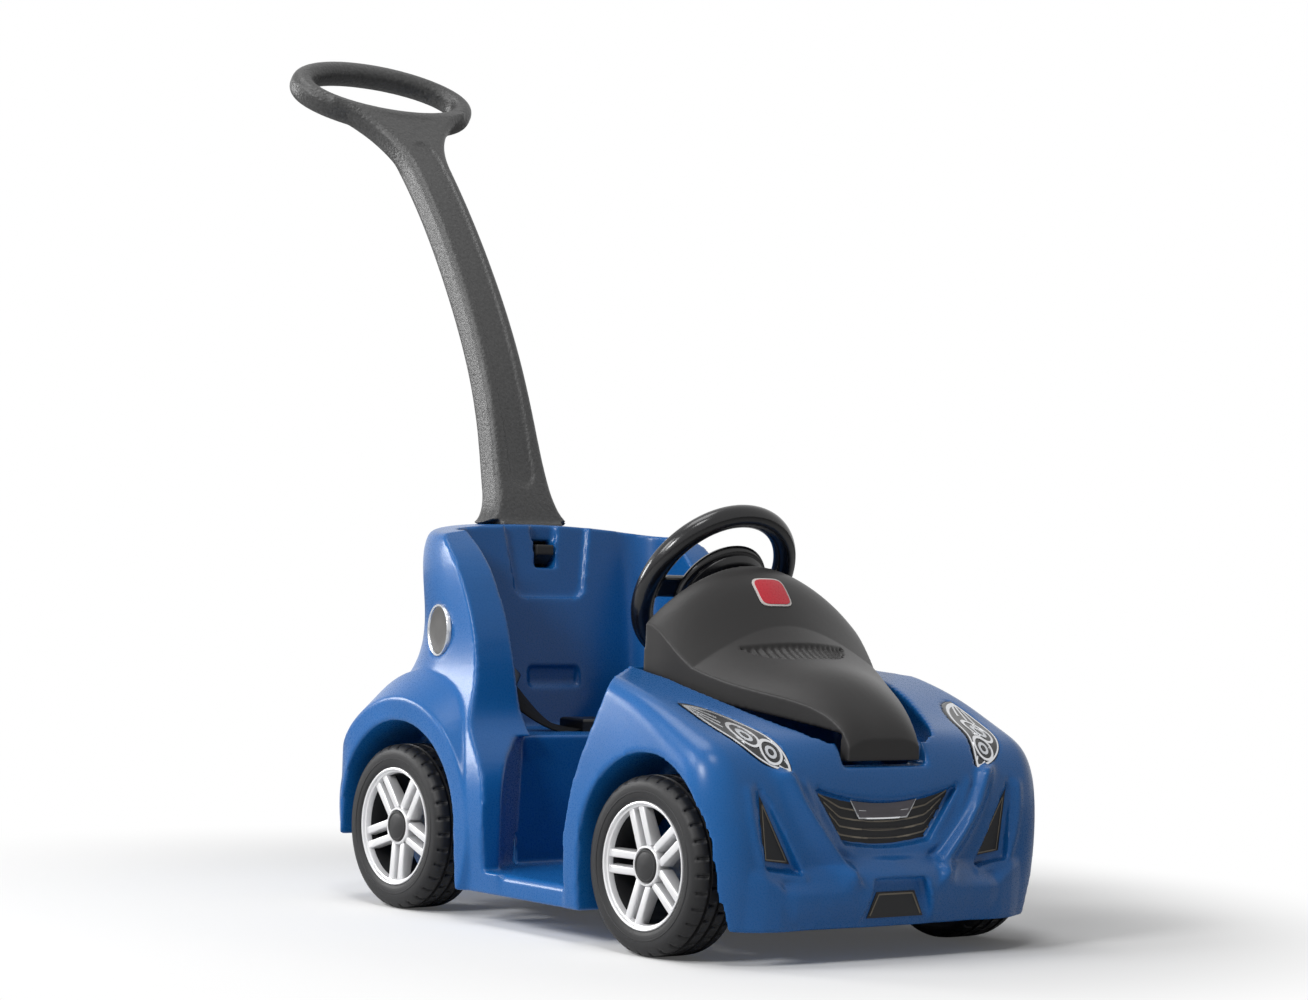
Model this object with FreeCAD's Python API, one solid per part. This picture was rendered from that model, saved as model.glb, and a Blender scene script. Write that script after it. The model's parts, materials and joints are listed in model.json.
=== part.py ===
"""Ride-on push car with a tall push handle, modelled as it comes apart on a bench.

Millimetres, +Z up, the nose towards -Y. Inside this file places are measured from the
point on the floor midway between the axles. The finished pieces are then moved so that the
origin lies on the floor at the middle of the whole outline, push handle included.
"""
import FreeCAD, Part
import math
import os

os.makedirs("parts", exist_ok=True)

# Main sizes of the car
wheelbase = 467.0
tyre_radius = 95.0
body_half_width = 245.0
nose_reach = 378.0
tail_reach = 384.0
tower_top = 450.0
deck_height = 297.0
underside_height = 36.0
floor_height = 61.0
overrun = 30.0
bend_share = 0.5523
along_share = 0.7

# Nose: sides from the underside up to the deck
# Each row: height, half width, back at the side
nose_back = 100.0
nose_back_half = 160.0
nose_shares = (
    (0.00, 0.975, 1.00),
    (0.15, 0.997, 1.01),
    (0.44, 1.000, 1.07),
    (0.69, 0.978, 1.28),
    (1.04, 0.926, 1.60),
)
# Front and deck seen from the side, from below the bumper back to the cowl
# Each row: height, reach at the middle, reach at the fenders
deck_shares = (
    (-0.12, 0.928, 0.916),
    (0.150, 0.941, 0.930),
    (0.420, 0.937, 0.928),
    (0.560, 0.926, 0.911),
    (0.678, 0.903, 0.860),
    (0.750, 0.868, 0.778),
    (0.808, 0.780, 0.700),
    (0.880, 0.628, 0.595),
    (0.960, 0.425, 0.420),
    (1.030, 0.160, 0.160),
)
nose_corner = 60.0
fender_round = 20.0
# Sunk face between the creases that run down from the headlights to the bumper
crease_low = 94.0
crease_low_half = 58.0
crease_top = 197.0
crease_top_half = 155.0
crease_pivot = 200.0
crease_lean = 3.6

# Bumper lip under the nose, most proud at the middle
# Each row: height, half width, reach at the middle, reach at the corner
lip_top = 110.0
lip_corner = 48.0
lip_back = 200.0
lip_shares = (
    (0.00, 0.900, 0.963, 0.900),
    (0.35, 0.930, 0.997, 0.912),
    (0.62, 0.930, 0.998, 0.910),
    (1.00, 0.900, 0.925, 0.880),
)

# Tail and seat tower: plan outlines from the underside up to the rim
# Each row: height, half width, back, corner
door_line = 20.0
tower_corner_share = 0.755
tower_corner = body_half_width * tower_corner_share
tail_shares = (
    (0.000, 0.971, 0.968, 0.30),
    (0.150, 1.000, 1.000, 0.34),
    (0.310, 0.992, 0.994, 0.38),
    (0.440, 0.930, 0.980, 0.56),
    (0.580, 0.845, 0.969, 0.94),
    (0.760, 0.822, 0.960, 1.00),
    (1.000, 0.748, 0.925, 0.92),
)
crown_drop = 24.0
crown_round = 12.0
tail_lift = 40.0
tail_lift_start = 300.0

# Front edge of the seat sides, seen from the side, as shares of the tower's height and reach
seat_edge_shares = (
    (0.128, 0.000),
    (0.125, 0.130),
    (0.142, 0.260),
    (0.215, 0.352),
    (0.282, 0.425),
    (0.318, 0.530),
    (0.354, 0.655),
    (0.408, 0.780),
    (0.490, 0.895),
    (0.610, 0.985),
    (0.720, 1.060),
)

# Wheel arches and the flares round the rear pair
well_depth = 87.0
well_inner = body_half_width - well_depth
front_arch_radius = 104.0
front_arch_height = 109.0
front_arch_spread = 9.0
rear_arch_radius = 118.0
rear_arch_height = 100.0
rear_arch_shift = 12.0
rear_arch_spread = 14.0
flare_radius = 145.0
flare_root_radius = 178.0
flare_depth = 42.0
flare_root = body_half_width - flare_depth
flare_stand = 2.0
flare_face = body_half_width + flare_stand

# Sill and seat
sill_inset = 7.0
sill_half_width = body_half_width - sill_inset
sill_round = 9.0
seat_height = 207.0
seat_width_share = 0.604
seat_half_width = body_half_width * seat_width_share
seat_front = 112.0
seat_back = 246.0
seat_corner = 42.0
seat_lean = 32.0
seat_half_flare = 5.0
pedestal_undercut = 10.0
leg_sill = 10.0
leg_splay_half = sill_half_width - leg_sill
leg_splay = 40.0
leg_waist_share = 0.8
leg_waist_half = body_half_width * leg_waist_share
leg_waist = 72.0
back_panel_depth = 7.0
back_panel_top_half = 68.0
back_panel_low_half = 36.0
back_panel_bottom = 362.0
lumbar_half = 38.0
lumbar_low = 255.0
lumbar_high = 280.0
lumbar_depth = 6.0

# Handle socket and its window
socket_clearance = 0.6
seat_gap = 0.3
socket_depth = 112.0
tang_half_width = 46.0
tang_thickness = 34.0
tang_front = 306.0
tang_corner = 5.0
window_half = 16.0
window_low = 398.0
window_high = 430.0
groove_half = 19.0
groove_depth = 9.0

# Recesses in the nose and the thin panels that sit in them
grille_half = 105.0
grille_low_half = 61.0
grille_top = 184.0
grille_sag = 18.0
grille_bottom = 118.0
grille_rise = 6.0
grille_floor = 339.0
vent_floor = 344.0
vent_pocket_grow = 8.0
vent_top_x = 178.0
vent_top_z = 180.0
vent_outer_x = 169.0
vent_outer_z = 108.0
vent_inner_x = 131.0
vent_inner_z = 103.0
chin_low_half = 62.0
chin_top_half = 36.0
chin_low = 36.0
chin_top = 88.0
chin_floor = 364.0
chin_panel_low = 46.0
chin_panel_top = 73.0
chin_panel_low_half = 40.0
chin_panel_top_half = 27.0
panel_thickness = 0.8
panel_gap = 1.0
grille_bar_count = 4
grille_bar_height = 2.0

# Headlights: an eye outline looking along the slope of the deck
headlight_inner_share = 0.539
headlight_inner_x = body_half_width * headlight_inner_share
headlight_outer_share = 0.804
headlight_outer_x = body_half_width * headlight_outer_share
headlight_low_z = 199.0
headlight_high_z = 265.0
headlight_width = 38.0
headlight_depth = 5.0

# Fuel caps on the tower's sides
fuel_cap_radius = 31.0
fuel_cap_ring = 5.0
fuel_cap_height = 323.0
fuel_cap_y = 214.0
fuel_cap_pocket = 7.0
fuel_cap_wall = 4.0
fuel_cap_turn = 12.0
fuel_cap_share = 0.8286
fuel_cap_x = body_half_width * fuel_cap_share

# Cowl behind the bonnet
cowl_half = 90.0
cowl_front = 106.0
cowl_back = 74.0
cowl_top_back = 86.0
cowl_top = 382.0
cowl_shoulder_half = 74.0
cowl_shoulder = 338.0
cowl_root = 270.0

# Bonnet lid
hood_wall = 4.0
hood_back = 110.0
hood_front = 341.0
tongue_depth = 12.0
tongue_low = 209.0
hood_half_width = 156.0
hood_crest = 411.0
hood_base_back = 283.0
hood_base_front = 235.0
# Each row: place along the bonnet, half width, shoulder height, crown height, crest height
hood_shares = (
    (0.000, 1.000, 0.484, 0.805, 1.000),
    (0.108, 0.974, 0.390, 0.690, 0.883),
    (0.238, 0.923, 0.200, 0.430, 0.610),
    (0.420, 0.795, 0.040, 0.200, 0.300),
    (0.628, 0.609, -0.060, 0.080, 0.164),
    (0.823, 0.436, -0.164, -0.060, 0.000),
    (0.930, 0.365, -0.290, -0.200, -0.175),
    (1.000, 0.340, -0.470, -0.400, -0.390),
)
hood_shoulder_share = 0.945
hood_crown_share = 0.58
vent_recess_half = 76.0
vent_recess_front = 226.0
vent_recess_back = 182.0
vent_recess_middle = 197.0
vent_recess_depth = 6.0
vent_floor_wall = 3.0
vent_rim = 3.0
vent_slat_top = 3.0
vent_slat_pitch = 9.0
vent_slat_thickness = 2.0

# Well under the bonnet: ledge outline and the bin inside it
# Each row: place along the bonnet, half width
recess_shares = (
    (-0.03, 1.020),
    (0.230, 0.955),
    (0.420, 0.830),
    (0.628, 0.690),
    (0.780, 0.620),
    (0.930, 0.530),
)
recess_drop = 1.0
bin_inset = 14.0
bin_floor = 116.0
bin_back = 130.0
bin_front = 312.0
bin_half = 128.0
bin_corner = 24.0
notch_half = 60.0
notch_floor = 203.0

# Bonnet hinge
hinge_y = 118.0
hinge_z = 386.0
hinge_pin_radius = 2.5
hinge_ear_radius = 6.5
hinge_ear_inner = 30.0
hinge_ear_thickness = 8.0
hinge_ear_drop = 30.0
hinge_side_gap = 1.0
hinge_lug_thickness = 7.0
running_clearance = 0.05

# Steering wheel, column and horn
wheel_y = 45.0
wheel_z = 388.0
wheel_tilt = 33.8
wheel_ring_radius = 94.0
wheel_tube_radius = 13.0
wheel_hub_radius = 36.0
wheel_hub_depth = 42.0
wheel_hub_share = 0.7
spoke_width = 26.0
spoke_thickness = 11.0
spoke_round = 3.5
spoke_angles = (0.0, 90.0, 180.0)
shaft_radius = 7.0
shaft_length = 84.0
bush_radius = 10.5
bush_flange_radius = 15.0
bush_flange = 3.0
bush_gap = 0.4
clip_radius = 12.0
clip_thickness = 4.0
clip_gap = 0.5
clip_room = 1.0
horn_radius = 24.0
horn_height = 12.0
horn_travel = 4.0
horn_side_gap = 0.5
horn_floor_gap = 1.0
horn_stand = 3.0
horn_pocket = horn_height - horn_stand + horn_travel + horn_floor_gap
spring_radius = 12.0
spring_top_radius = 8.0
spring_wall = 1.5

# Push handle
# Each row: back along the arm, height, width, thickness
arm_base_y = 331.0
arm_base_z = 451.0
arm_top_y = 632.0
arm_top_z = 969.0
arm_width = 62.0
arm_thickness = 38.0
arm_round = 9.0
arm_shares = (
    (0.000, 0.000, 2.15, 1.05),
    (0.012, 0.018, 1.75, 1.05),
    (0.030, 0.048, 1.45, 1.04),
    (0.060, 0.095, 1.30, 1.03),
    (0.125, 0.214, 1.14, 1.01),
    (0.203, 0.338, 1.06, 1.00),
    (0.425, 0.580, 1.00, 0.98),
    (0.725, 0.822, 0.98, 0.94),
    (0.850, 0.905, 1.02, 0.90),
    (1.000, 1.000, 1.10, 0.80),
)
arm_panel_depth = 3.0
arm_panel_low = 514.0
arm_panel_high = 922.0
arm_panel_half = 18.0
loop_half_width = 136.0
loop_half_length = 73.0
loop_hole_half_width = 107.0
loop_hole_half_length = 44.0
loop_thickness = 32.0
loop_round = 13.0
loop_tilt = 37.0
loop_y = 677.0
loop_z = 1004.0
web_tilt = 47.0
web_length = 105.0
web_thickness = 30.0
web_round = 9.0
web_spread_share = 0.76
web_tuck = 3.0

# Snap tab of the handle
tab_half_width = 13.0
tab_low = 402.0
tab_high = 426.0
tab_front = 280.0
tab_root = 4.0
tab_travel = 26.0
tab_side_gap = 0.5

# Wheels and axles
tyre_inset = 4.0
tyre_outer = body_half_width - tyre_inset
tyre_width = 66.0
tyre_shoulder = 9.0
tread_groove = 4.0
tread_groove_depth = 3.0
tread_groove_shares = (0.27, 0.5, 0.73)
rim_radius = 68.0
rim_wall = 5.0
rim_inset = 3.0
rim_lip = 2.0
rim_hub_radius = 22.0
spoke_pairs = 5
rim_spoke_width = 9.5
rim_spoke_gap = 7.5
rim_spoke_depth = 12.0
rim_spoke_dish = 4.0
front_wheel_turn = 18.0
rear_wheel_turn = 36.0
axle_radius = 5.0
axle_height = 95.0
axle_inset = 13.0
axle_end = tyre_outer - axle_inset
hub_bush_radius = 9.0
spacer_length = 13.0
hub_inner = well_inner + spacer_length
spacer_radius = 11.0
spacer_gap = 0.5
nut_radius = 9.0
nut_thickness = 3.0
nut_room = 1.0
hub_cap_radius = 18.0
hub_cap_dome = 2.0
hub_cap_top_share = 0.8

# Lap belt
belt_width = 38.0
belt_thickness = 2.5
belt_y = 184.0
belt_wall_height = 284.0
belt_pan_x = 58.0
belt_end_x = 24.0
buckle_width = 46.0
buckle_height = 15.0
buckle_split = 6.0
buckle_round = 4.0
anchor_plate = 3.0
anchor_width = 30.0
anchor_height = 26.0

# Shift from the middle of the wheelbase to the middle of the whole outline
loop_reach = (loop_half_length - loop_round) * math.cos(math.radians(loop_tilt))
loop_edge = (loop_thickness / 2 - loop_round) * math.sin(math.radians(loop_tilt))
loop_back = loop_y + loop_reach + loop_edge + loop_round
origin_shift = (nose_reach - loop_back) / 2

X = FreeCAD.Vector(1, 0, 0)
Y = FreeCAD.Vector(0, 1, 0)
Z = FreeCAD.Vector(0, 0, 1)


def at(x, y, z):
    return FreeCAD.Vector(x, y, z)


def line(a, b):
    return Part.makeLine(a, b)


def arc(a, b, c):
    return Part.Arc(a, b, c).toShape()


def curve(points):
    spline = Part.BSplineCurve()
    spline.interpolate(points)
    return spline.toShape()


def bezier(points):
    shape = Part.BezierCurve()
    shape.setPoles(points)
    return shape.toShape()


def bend(start, corner, end):
    """Nearly circular bend inside a corner, light enough to loft."""
    return bezier([start, start + (corner - start) * bend_share, end + (corner - end) * bend_share, end])


def bow(start, middle, end):
    """Shallow even bow through a middle point."""
    return bezier([start, middle * 2 - (start + end) * 0.5, end])


def chain(points):
    return [line(a, b) for a, b in zip(points, points[1:])]


def slab(edges, along):
    """Solid made by pushing a closed outline along a vector."""
    return Part.Face(Part.Wire(edges)).extrude(along)


def loft(wires):
    return Part.makeLoft(wires, True, False)


def box(x0, x1, y0, y1, z0, z1):
    return Part.makeBox(x1 - x0, y1 - y0, z1 - z0, at(x0, y0, z0))


def rod(radius, start, end):
    along = end - start
    return Part.makeCylinder(radius, along.Length, start, along)


def joined(shapes):
    solid = shapes[0]
    for shape in shapes[1:]:
        solid = solid.fuse(shape)
    return solid.removeSplitter()


def edges_along(shape, axis):
    """Edges that set off along an axis."""
    return [e for e in shape.Edges if abs(e.tangentAt(e.FirstParameter).dot(axis)) > along_share]


def mirrored(shape):
    return shape.mirror(at(0, 0, 0), X)


def save(name, shape):
    moved = shape.copy()
    moved.translate(at(0, origin_shift, 0))
    moved.exportStep("parts/" + name + ".step")


# Body

def nose_sides():
    """Block between the sides of the nose, its rear corners slanted in to the cowl."""
    wires = []
    far = -nose_reach - overrun
    for height, half, back in nose_shares:
        z = underside_height + (deck_height - underside_height) * height
        w = body_half_width * half
        side = nose_back * back
        wires.append(Part.Wire(chain([
            at(w, -side, z), at(w, far, z), at(-w, far, z), at(-w, -side, z), at(-nose_back_half, -nose_back, z),
            at(nose_back_half, -nose_back, z), at(w, -side, z)])))
    return loft(wires)


def deck_cut():
    """Everything ahead of the front and above the deck: three side profiles lofted across."""
    wires = []
    far = body_half_width + overrun
    top = deck_height + overrun
    ahead = -nose_reach - 2 * overrun
    for x, column in ((-far, 2), (0, 1), (far, 2)):
        points = [at(x, -nose_reach * row[column], underside_height + (deck_height - underside_height) * row[0])
                  for row in deck_shares]
        low = points[0]
        high = points[-1]
        wires.append(Part.Wire([curve(points)] + chain([
            high, at(x, high.y, top), at(x, ahead, top), at(x, ahead, low.z), low])))
    return loft(wires)


def nose_block():
    """Nose with its deck; one crease runs up each corner and back along the fender, ever sharper."""
    block = nose_sides().cut(deck_cut())
    for side in (-1, 1):
        crease = max((e for e in block.Edges if e.CenterOfMass.x * side > nose_back_half),
                     key=lambda e: e.Length)
        rising = crease.Vertexes[0].Z < crease.Vertexes[-1].Z
        ends = (nose_corner, fender_round) if rising else (fender_round, nose_corner)
        block = block.makeFillet(ends[0], ends[1], [crease])
    return block


def face_cut(nose):
    """Wedge that sinks the face between two creases, ever deeper towards the bumper."""
    depth = nose_reach + overrun
    front = slab(chain([
        at(-crease_low_half, -depth, crease_low), at(crease_low_half, -depth, crease_low),
        at(crease_top_half, -depth, crease_top), at(-crease_top_half, -depth, crease_top),
        at(-crease_low_half, -depth, crease_low)]), Y * (depth - nose_back))
    leaned = nose.copy()
    leaned.rotate(at(0, -nose_reach, crease_pivot), X, crease_lean)
    return front.cut(leaned)


def bumper_lip():
    wires = []
    for height, half, middle, corner in lip_shares:
        z = underside_height + (lip_top - underside_height) * height
        w = body_half_width * half
        front = nose_reach * corner
        right = [at(w, -lip_back, z), at(w, lip_corner - front, z), at(w, -front, z), at(w - lip_corner, -front, z)]
        left = [at(-p.x, p.y, p.z) for p in right]
        wires.append(Part.Wire([
            line(left[0], left[1]), bend(left[1], left[2], left[3]),
            bow(left[3], at(0, -nose_reach * middle, z), right[3]),
            bend(right[3], right[2], right[1]), line(right[1], right[0]), line(right[0], left[0])]))
    return loft(wires)


def tail_outline(z, half, back, corner):
    """Plan outline of the tail and tower at one height, open towards the door line."""
    right = [at(half, door_line, z), at(half, back - corner, z), at(half, back, z), at(half - corner, back, z)]
    left = [at(-p.x, p.y, p.z) for p in right]
    return Part.Wire([
        line(right[0], right[1]),
        bend(right[1], right[2], right[3]),
        line(right[3], left[3]),
        bend(left[3], left[2], left[1]),
        line(left[1], left[0]),
        line(left[0], right[0]),
    ])


def tail_loft():
    """Tail and tower in one loft, with the rim cut to a crown and its edge rounded."""
    wires = []
    for height, half, back, corner in tail_shares:
        z = underside_height + (tower_top - underside_height) * height
        wires.append(tail_outline(z, body_half_width * half, tail_reach * back, tower_corner * corner))
    solid = loft(wires)
    half = body_half_width
    low = tower_top - crown_drop
    high = tower_top + overrun
    above = slab([
        arc(at(-half, 0, low), at(0, 0, tower_top), at(half, 0, low)),
        line(at(half, 0, low), at(half, 0, high)),
        line(at(half, 0, high), at(-half, 0, high)),
        line(at(-half, 0, high), at(-half, 0, low))], Y * (2 * tail_reach))
    solid = solid.cut(above)
    rim = [e for e in solid.Edges if e.BoundBox.ZMin > low - crown_drop and e.BoundBox.YMax > 2 * door_line]
    return solid.makeFillet(crown_round, rim)


def rear_flare(side):
    """Cone-shaped flare round one rear wheel, widest at the tower and proud of the tail."""
    place = at(side * flare_root, wheelbase / 2 - rear_arch_shift, rear_arch_height)
    cone = Part.makeCone(flare_root_radius, flare_radius, flare_face - flare_root, place, X * side)
    inner = rod(flare_root_radius, at(side * well_inner, place.y, place.z), place)
    corner = tower_corner * tail_shares[2][3]
    plan = tail_outline(underside_height, flare_face, tail_reach, corner)
    room = Part.Face(plan).extrude(Z * (tower_top - underside_height))
    return cone.fuse(inner).common(room)


def seat_edge_cut():
    """Everything ahead of the curved front edge of the seat sides."""
    points = [at(0, tail_reach * y, floor_height + (tower_top - floor_height) * z)
              for y, z in seat_edge_shares]
    top = points[-1]
    edges = [curve(points)] + chain([
        top, at(0, -door_line, top.z), at(0, -door_line, points[0].z), points[0]])
    solid = slab(edges, X * (2 * flare_face + 2 * overrun))
    solid.translate(at(-flare_face - overrun, 0, 0))
    return solid


def arch_cut(side, y, radius, height, spread):
    """Wheel well: a half-round top with walls that spread a little towards the floor."""
    low = -overrun
    edges = [
        arc(at(0, y - radius, height), at(0, y, height + radius), at(0, y + radius, height)),
        line(at(0, y + radius, height), at(0, y + radius + spread, low)),
        line(at(0, y + radius + spread, low), at(0, y - radius - spread, low)),
        line(at(0, y - radius - spread, low), at(0, y - radius, height)),
    ]
    solid = slab(edges, X * (flare_face + overrun - well_inner))
    solid.translate(at(well_inner, 0, 0))
    return solid if side > 0 else mirrored(solid)


def seat_hollow():
    """Bucket above the seat pan, leaning back and opening a little towards the rim."""
    wires = []
    top = tower_top + overrun
    for z in (seat_height, (seat_height + top) / 2, top):
        share = (z - seat_height) / (tower_top - seat_height)
        back = seat_back + seat_lean * share
        wires.append(tail_outline(z, seat_wall(z), back, seat_corner))
    hollow = loft(wires)
    front = box(-seat_half_width, seat_half_width, -door_line, 2 * door_line, seat_height, top)
    return hollow.fuse(front)


def leg_recess():
    """Space under the seat pan's front edge: a sloping heel whose sides splay out to the sills."""
    plan = chain([
        at(-seat_half_width, seat_front, 0), at(seat_half_width, seat_front, 0), at(leg_waist_half, leg_waist, 0),
        at(leg_splay_half, leg_splay, 0), at(leg_splay_half, -door_line, 0), at(-leg_splay_half, -door_line, 0),
        at(-leg_splay_half, leg_splay, 0), at(-leg_waist_half, leg_waist, 0), at(-seat_half_width, seat_front, 0)])
    column = slab(plan, Z * tower_top)
    side = chain([
        at(0, -door_line, floor_height), at(0, seat_front - pedestal_undercut, floor_height),
        at(0, seat_front, seat_height), at(0, -door_line, seat_height), at(0, -door_line, floor_height)])
    wedge = slab(side, X * (2 * leg_splay_half))
    wedge.translate(at(-leg_splay_half, 0, 0))
    return column.common(wedge)


def back_recesses():
    """Cupped panel under the rim of the seat back and the lumbar step below it."""
    top = tower_top + overrun
    face_low = seat_back + seat_lean * (back_panel_bottom - seat_height) / (tower_top - seat_height)
    face_top = seat_back + seat_lean * (top - seat_height) / (tower_top - seat_height)
    lean = math.atan2(face_top - face_low, top - back_panel_bottom)
    corner = (back_panel_top_half - back_panel_low_half) / 2
    half = back_panel_low_half + corner
    low = back_panel_bottom
    edges = [
        line(at(-back_panel_top_half, 0, top), at(-half, 0, low + corner)),
        bend(at(-half, 0, low + corner), at(-half, 0, low), at(-back_panel_low_half, 0, low)),
        line(at(-back_panel_low_half, 0, low), at(back_panel_low_half, 0, low)),
        bend(at(back_panel_low_half, 0, low), at(half, 0, low), at(half, 0, low + corner)),
        line(at(half, 0, low + corner), at(back_panel_top_half, 0, top)),
        line(at(back_panel_top_half, 0, top), at(-back_panel_top_half, 0, top)),
    ]
    panel = slab(edges, Y * (overrun + back_panel_depth))
    panel.translate(at(0, face_low - overrun, 0))
    panel.rotate(at(0, face_low, low), X, -math.degrees(lean))
    lumbar_face = seat_back + seat_lean * (lumbar_low - seat_height) / (tower_top - seat_height)
    lumbar = box(-lumbar_half, lumbar_half, lumbar_face - overrun, lumbar_face + lumbar_depth,
                 lumbar_low, lumbar_high)
    lumbar = lumbar.makeFillet(lumbar_depth, edges_along(lumbar, Y))
    return panel.fuse(lumbar)


def rounded_bar(half_x, y0, y1, z0, z1, corner):
    """Upright bar with rounded long edges."""
    bar = box(-half_x, half_x, y0, y1, z0, z1)
    return bar.makeFillet(corner, edges_along(bar, Z))


def socket_cut():
    """Socket for the handle's tang, the snap window and the lead-in groove."""
    gap = socket_clearance
    socket = rounded_bar(tang_half_width + gap, tang_front - gap, tang_front + tang_thickness + gap,
                         arm_base_z - socket_depth - seat_gap, tower_top + overrun, tang_corner)
    window = box(-window_half, window_half, seat_back, tang_front, window_low, window_high)
    face = seat_back + seat_lean * (window_high - seat_height) / (tower_top - seat_height)
    groove = box(-groove_half, groove_half, face - overrun, face + back_panel_depth + groove_depth,
                 window_high, tower_top + overrun)
    return socket.fuse(window).fuse(groove)


def grille_outline(y, inset):
    """Smile-shaped outline of the grille at depth y, drawn in by inset."""
    half = grille_half - 2 * inset
    low_half = grille_low_half - inset
    top = grille_top - inset
    low = grille_bottom + inset
    return [
        arc(at(-half, y, top), at(0, y, top - grille_sag), at(half, y, top)),
        line(at(half, y, top), at(low_half, y, low + grille_rise)),
        arc(at(low_half, y, low + grille_rise), at(0, y, low), at(-low_half, y, low + grille_rise)),
        line(at(-low_half, y, low + grille_rise), at(-half, y, top)),
    ]


def vent_outline(side, y, inset):
    """Three-cornered outline of a side vent at depth y, drawn in towards its middle."""
    corners = [(vent_top_x, vent_top_z), (vent_outer_x, vent_outer_z), (vent_inner_x, vent_inner_z)]
    middle_x = sum(x for x, z in corners) / len(corners)
    middle_z = sum(z for x, z in corners) / len(corners)
    reach = (vent_top_x - vent_inner_x) / 2
    keep = 1 - inset / reach
    points = [at(side * (middle_x + (x - middle_x) * keep), y, middle_z + (z - middle_z) * keep)
              for x, z in corners]
    return chain(points + points[:1])


def chin_outline(y, low_half, top_half, low, top):
    return chain([at(-low_half, y, low), at(low_half, y, low), at(top_half, y, top),
                  at(-top_half, y, top), at(-low_half, y, low)])


def nose_recesses():
    """Shallow pockets for the grille, the two side vents and the chin panel."""
    depth = nose_reach + overrun
    cuts = [slab(grille_outline(-depth, 0), Y * (depth - grille_floor))]
    for side in (-1, 1):
        cuts.append(slab(vent_outline(side, -depth, -vent_pocket_grow), Y * (depth - vent_floor)))
    cuts.append(slab(chin_outline(-depth, chin_low_half, chin_top_half, chin_low - overrun, chin_top),
                     Y * (depth - chin_floor)))
    return cuts


def headlight_prism(side):
    """Eye-shaped prism standing along the slope of the deck."""
    mid = at((headlight_inner_x + headlight_outer_x) / 2, 0, (headlight_low_z + headlight_high_z) / 2)
    run = at(headlight_outer_x - headlight_inner_x, 0, headlight_high_z - headlight_low_z)
    across = at(-run.z, 0, run.x).normalize() * (headlight_width / 2)
    tip_low = at(headlight_inner_x, 0, headlight_low_z)
    tip_high = at(headlight_outer_x, 0, headlight_high_z)
    edges = [
        arc(tip_low, mid + across, tip_high),
        arc(tip_high, mid - across, tip_low),
    ]
    prism = slab(edges, Y * nose_reach)
    prism.translate(at(0, -nose_reach, 0))
    return prism if side > 0 else mirrored(prism)


def headlight(nose, side):
    """Lens that fills its pocket and stays flush with the skin of the nose."""
    prism = headlight_prism(side)
    inner = nose.copy()
    inner.translate(at(0, headlight_depth, -headlight_depth))
    return nose.common(prism).cut(inner)


def bonnet_recess_cut():
    """Ledge that carries the bonnet, the bin inside it and the notch for the finger tongue."""
    run = hood_front - hood_back
    side = [at(hood_half_width * half, -hood_back - run * place, 0) for place, half in recess_shares]
    other = [at(-p.x, p.y, 0) for p in side]
    outline = [curve(side), line(side[-1], other[-1]), curve(other[::-1]), line(other[0], side[0])]
    well = slab(outline, Z * (hood_crest + overrun))
    fall = (hood_base_back - hood_base_front) / run
    drop = recess_drop
    far = nose_reach + overrun
    ledge = slab(chain([
        at(-body_half_width, 0, hood_base_back + fall * hood_back - drop),
        at(-body_half_width, -far, hood_base_back + fall * (hood_back - far) - drop),
        at(-body_half_width, -far, hood_crest + overrun),
        at(-body_half_width, 0, hood_crest + overrun),
        at(-body_half_width, 0, hood_base_back + fall * hood_back - drop)]), X * (2 * body_half_width))
    pit = rounded_bar(bin_half, -bin_front, -bin_back, bin_floor, hood_crest, bin_corner)
    inner = [at(p.x - bin_inset, p.y, 0) for p in side]
    inner_other = [at(-p.x, p.y, 0) for p in inner]
    waist = slab([curve(inner), line(inner[-1], inner_other[-1]), curve(inner_other[::-1]),
                  line(inner_other[0], inner[0])], Z * (hood_crest + overrun))
    notch = box(-notch_half, notch_half, -far, -hood_front + 2 * overrun, notch_floor, hood_crest)
    return well.common(ledge).fuse(pit.common(waist)).fuse(notch)


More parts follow.
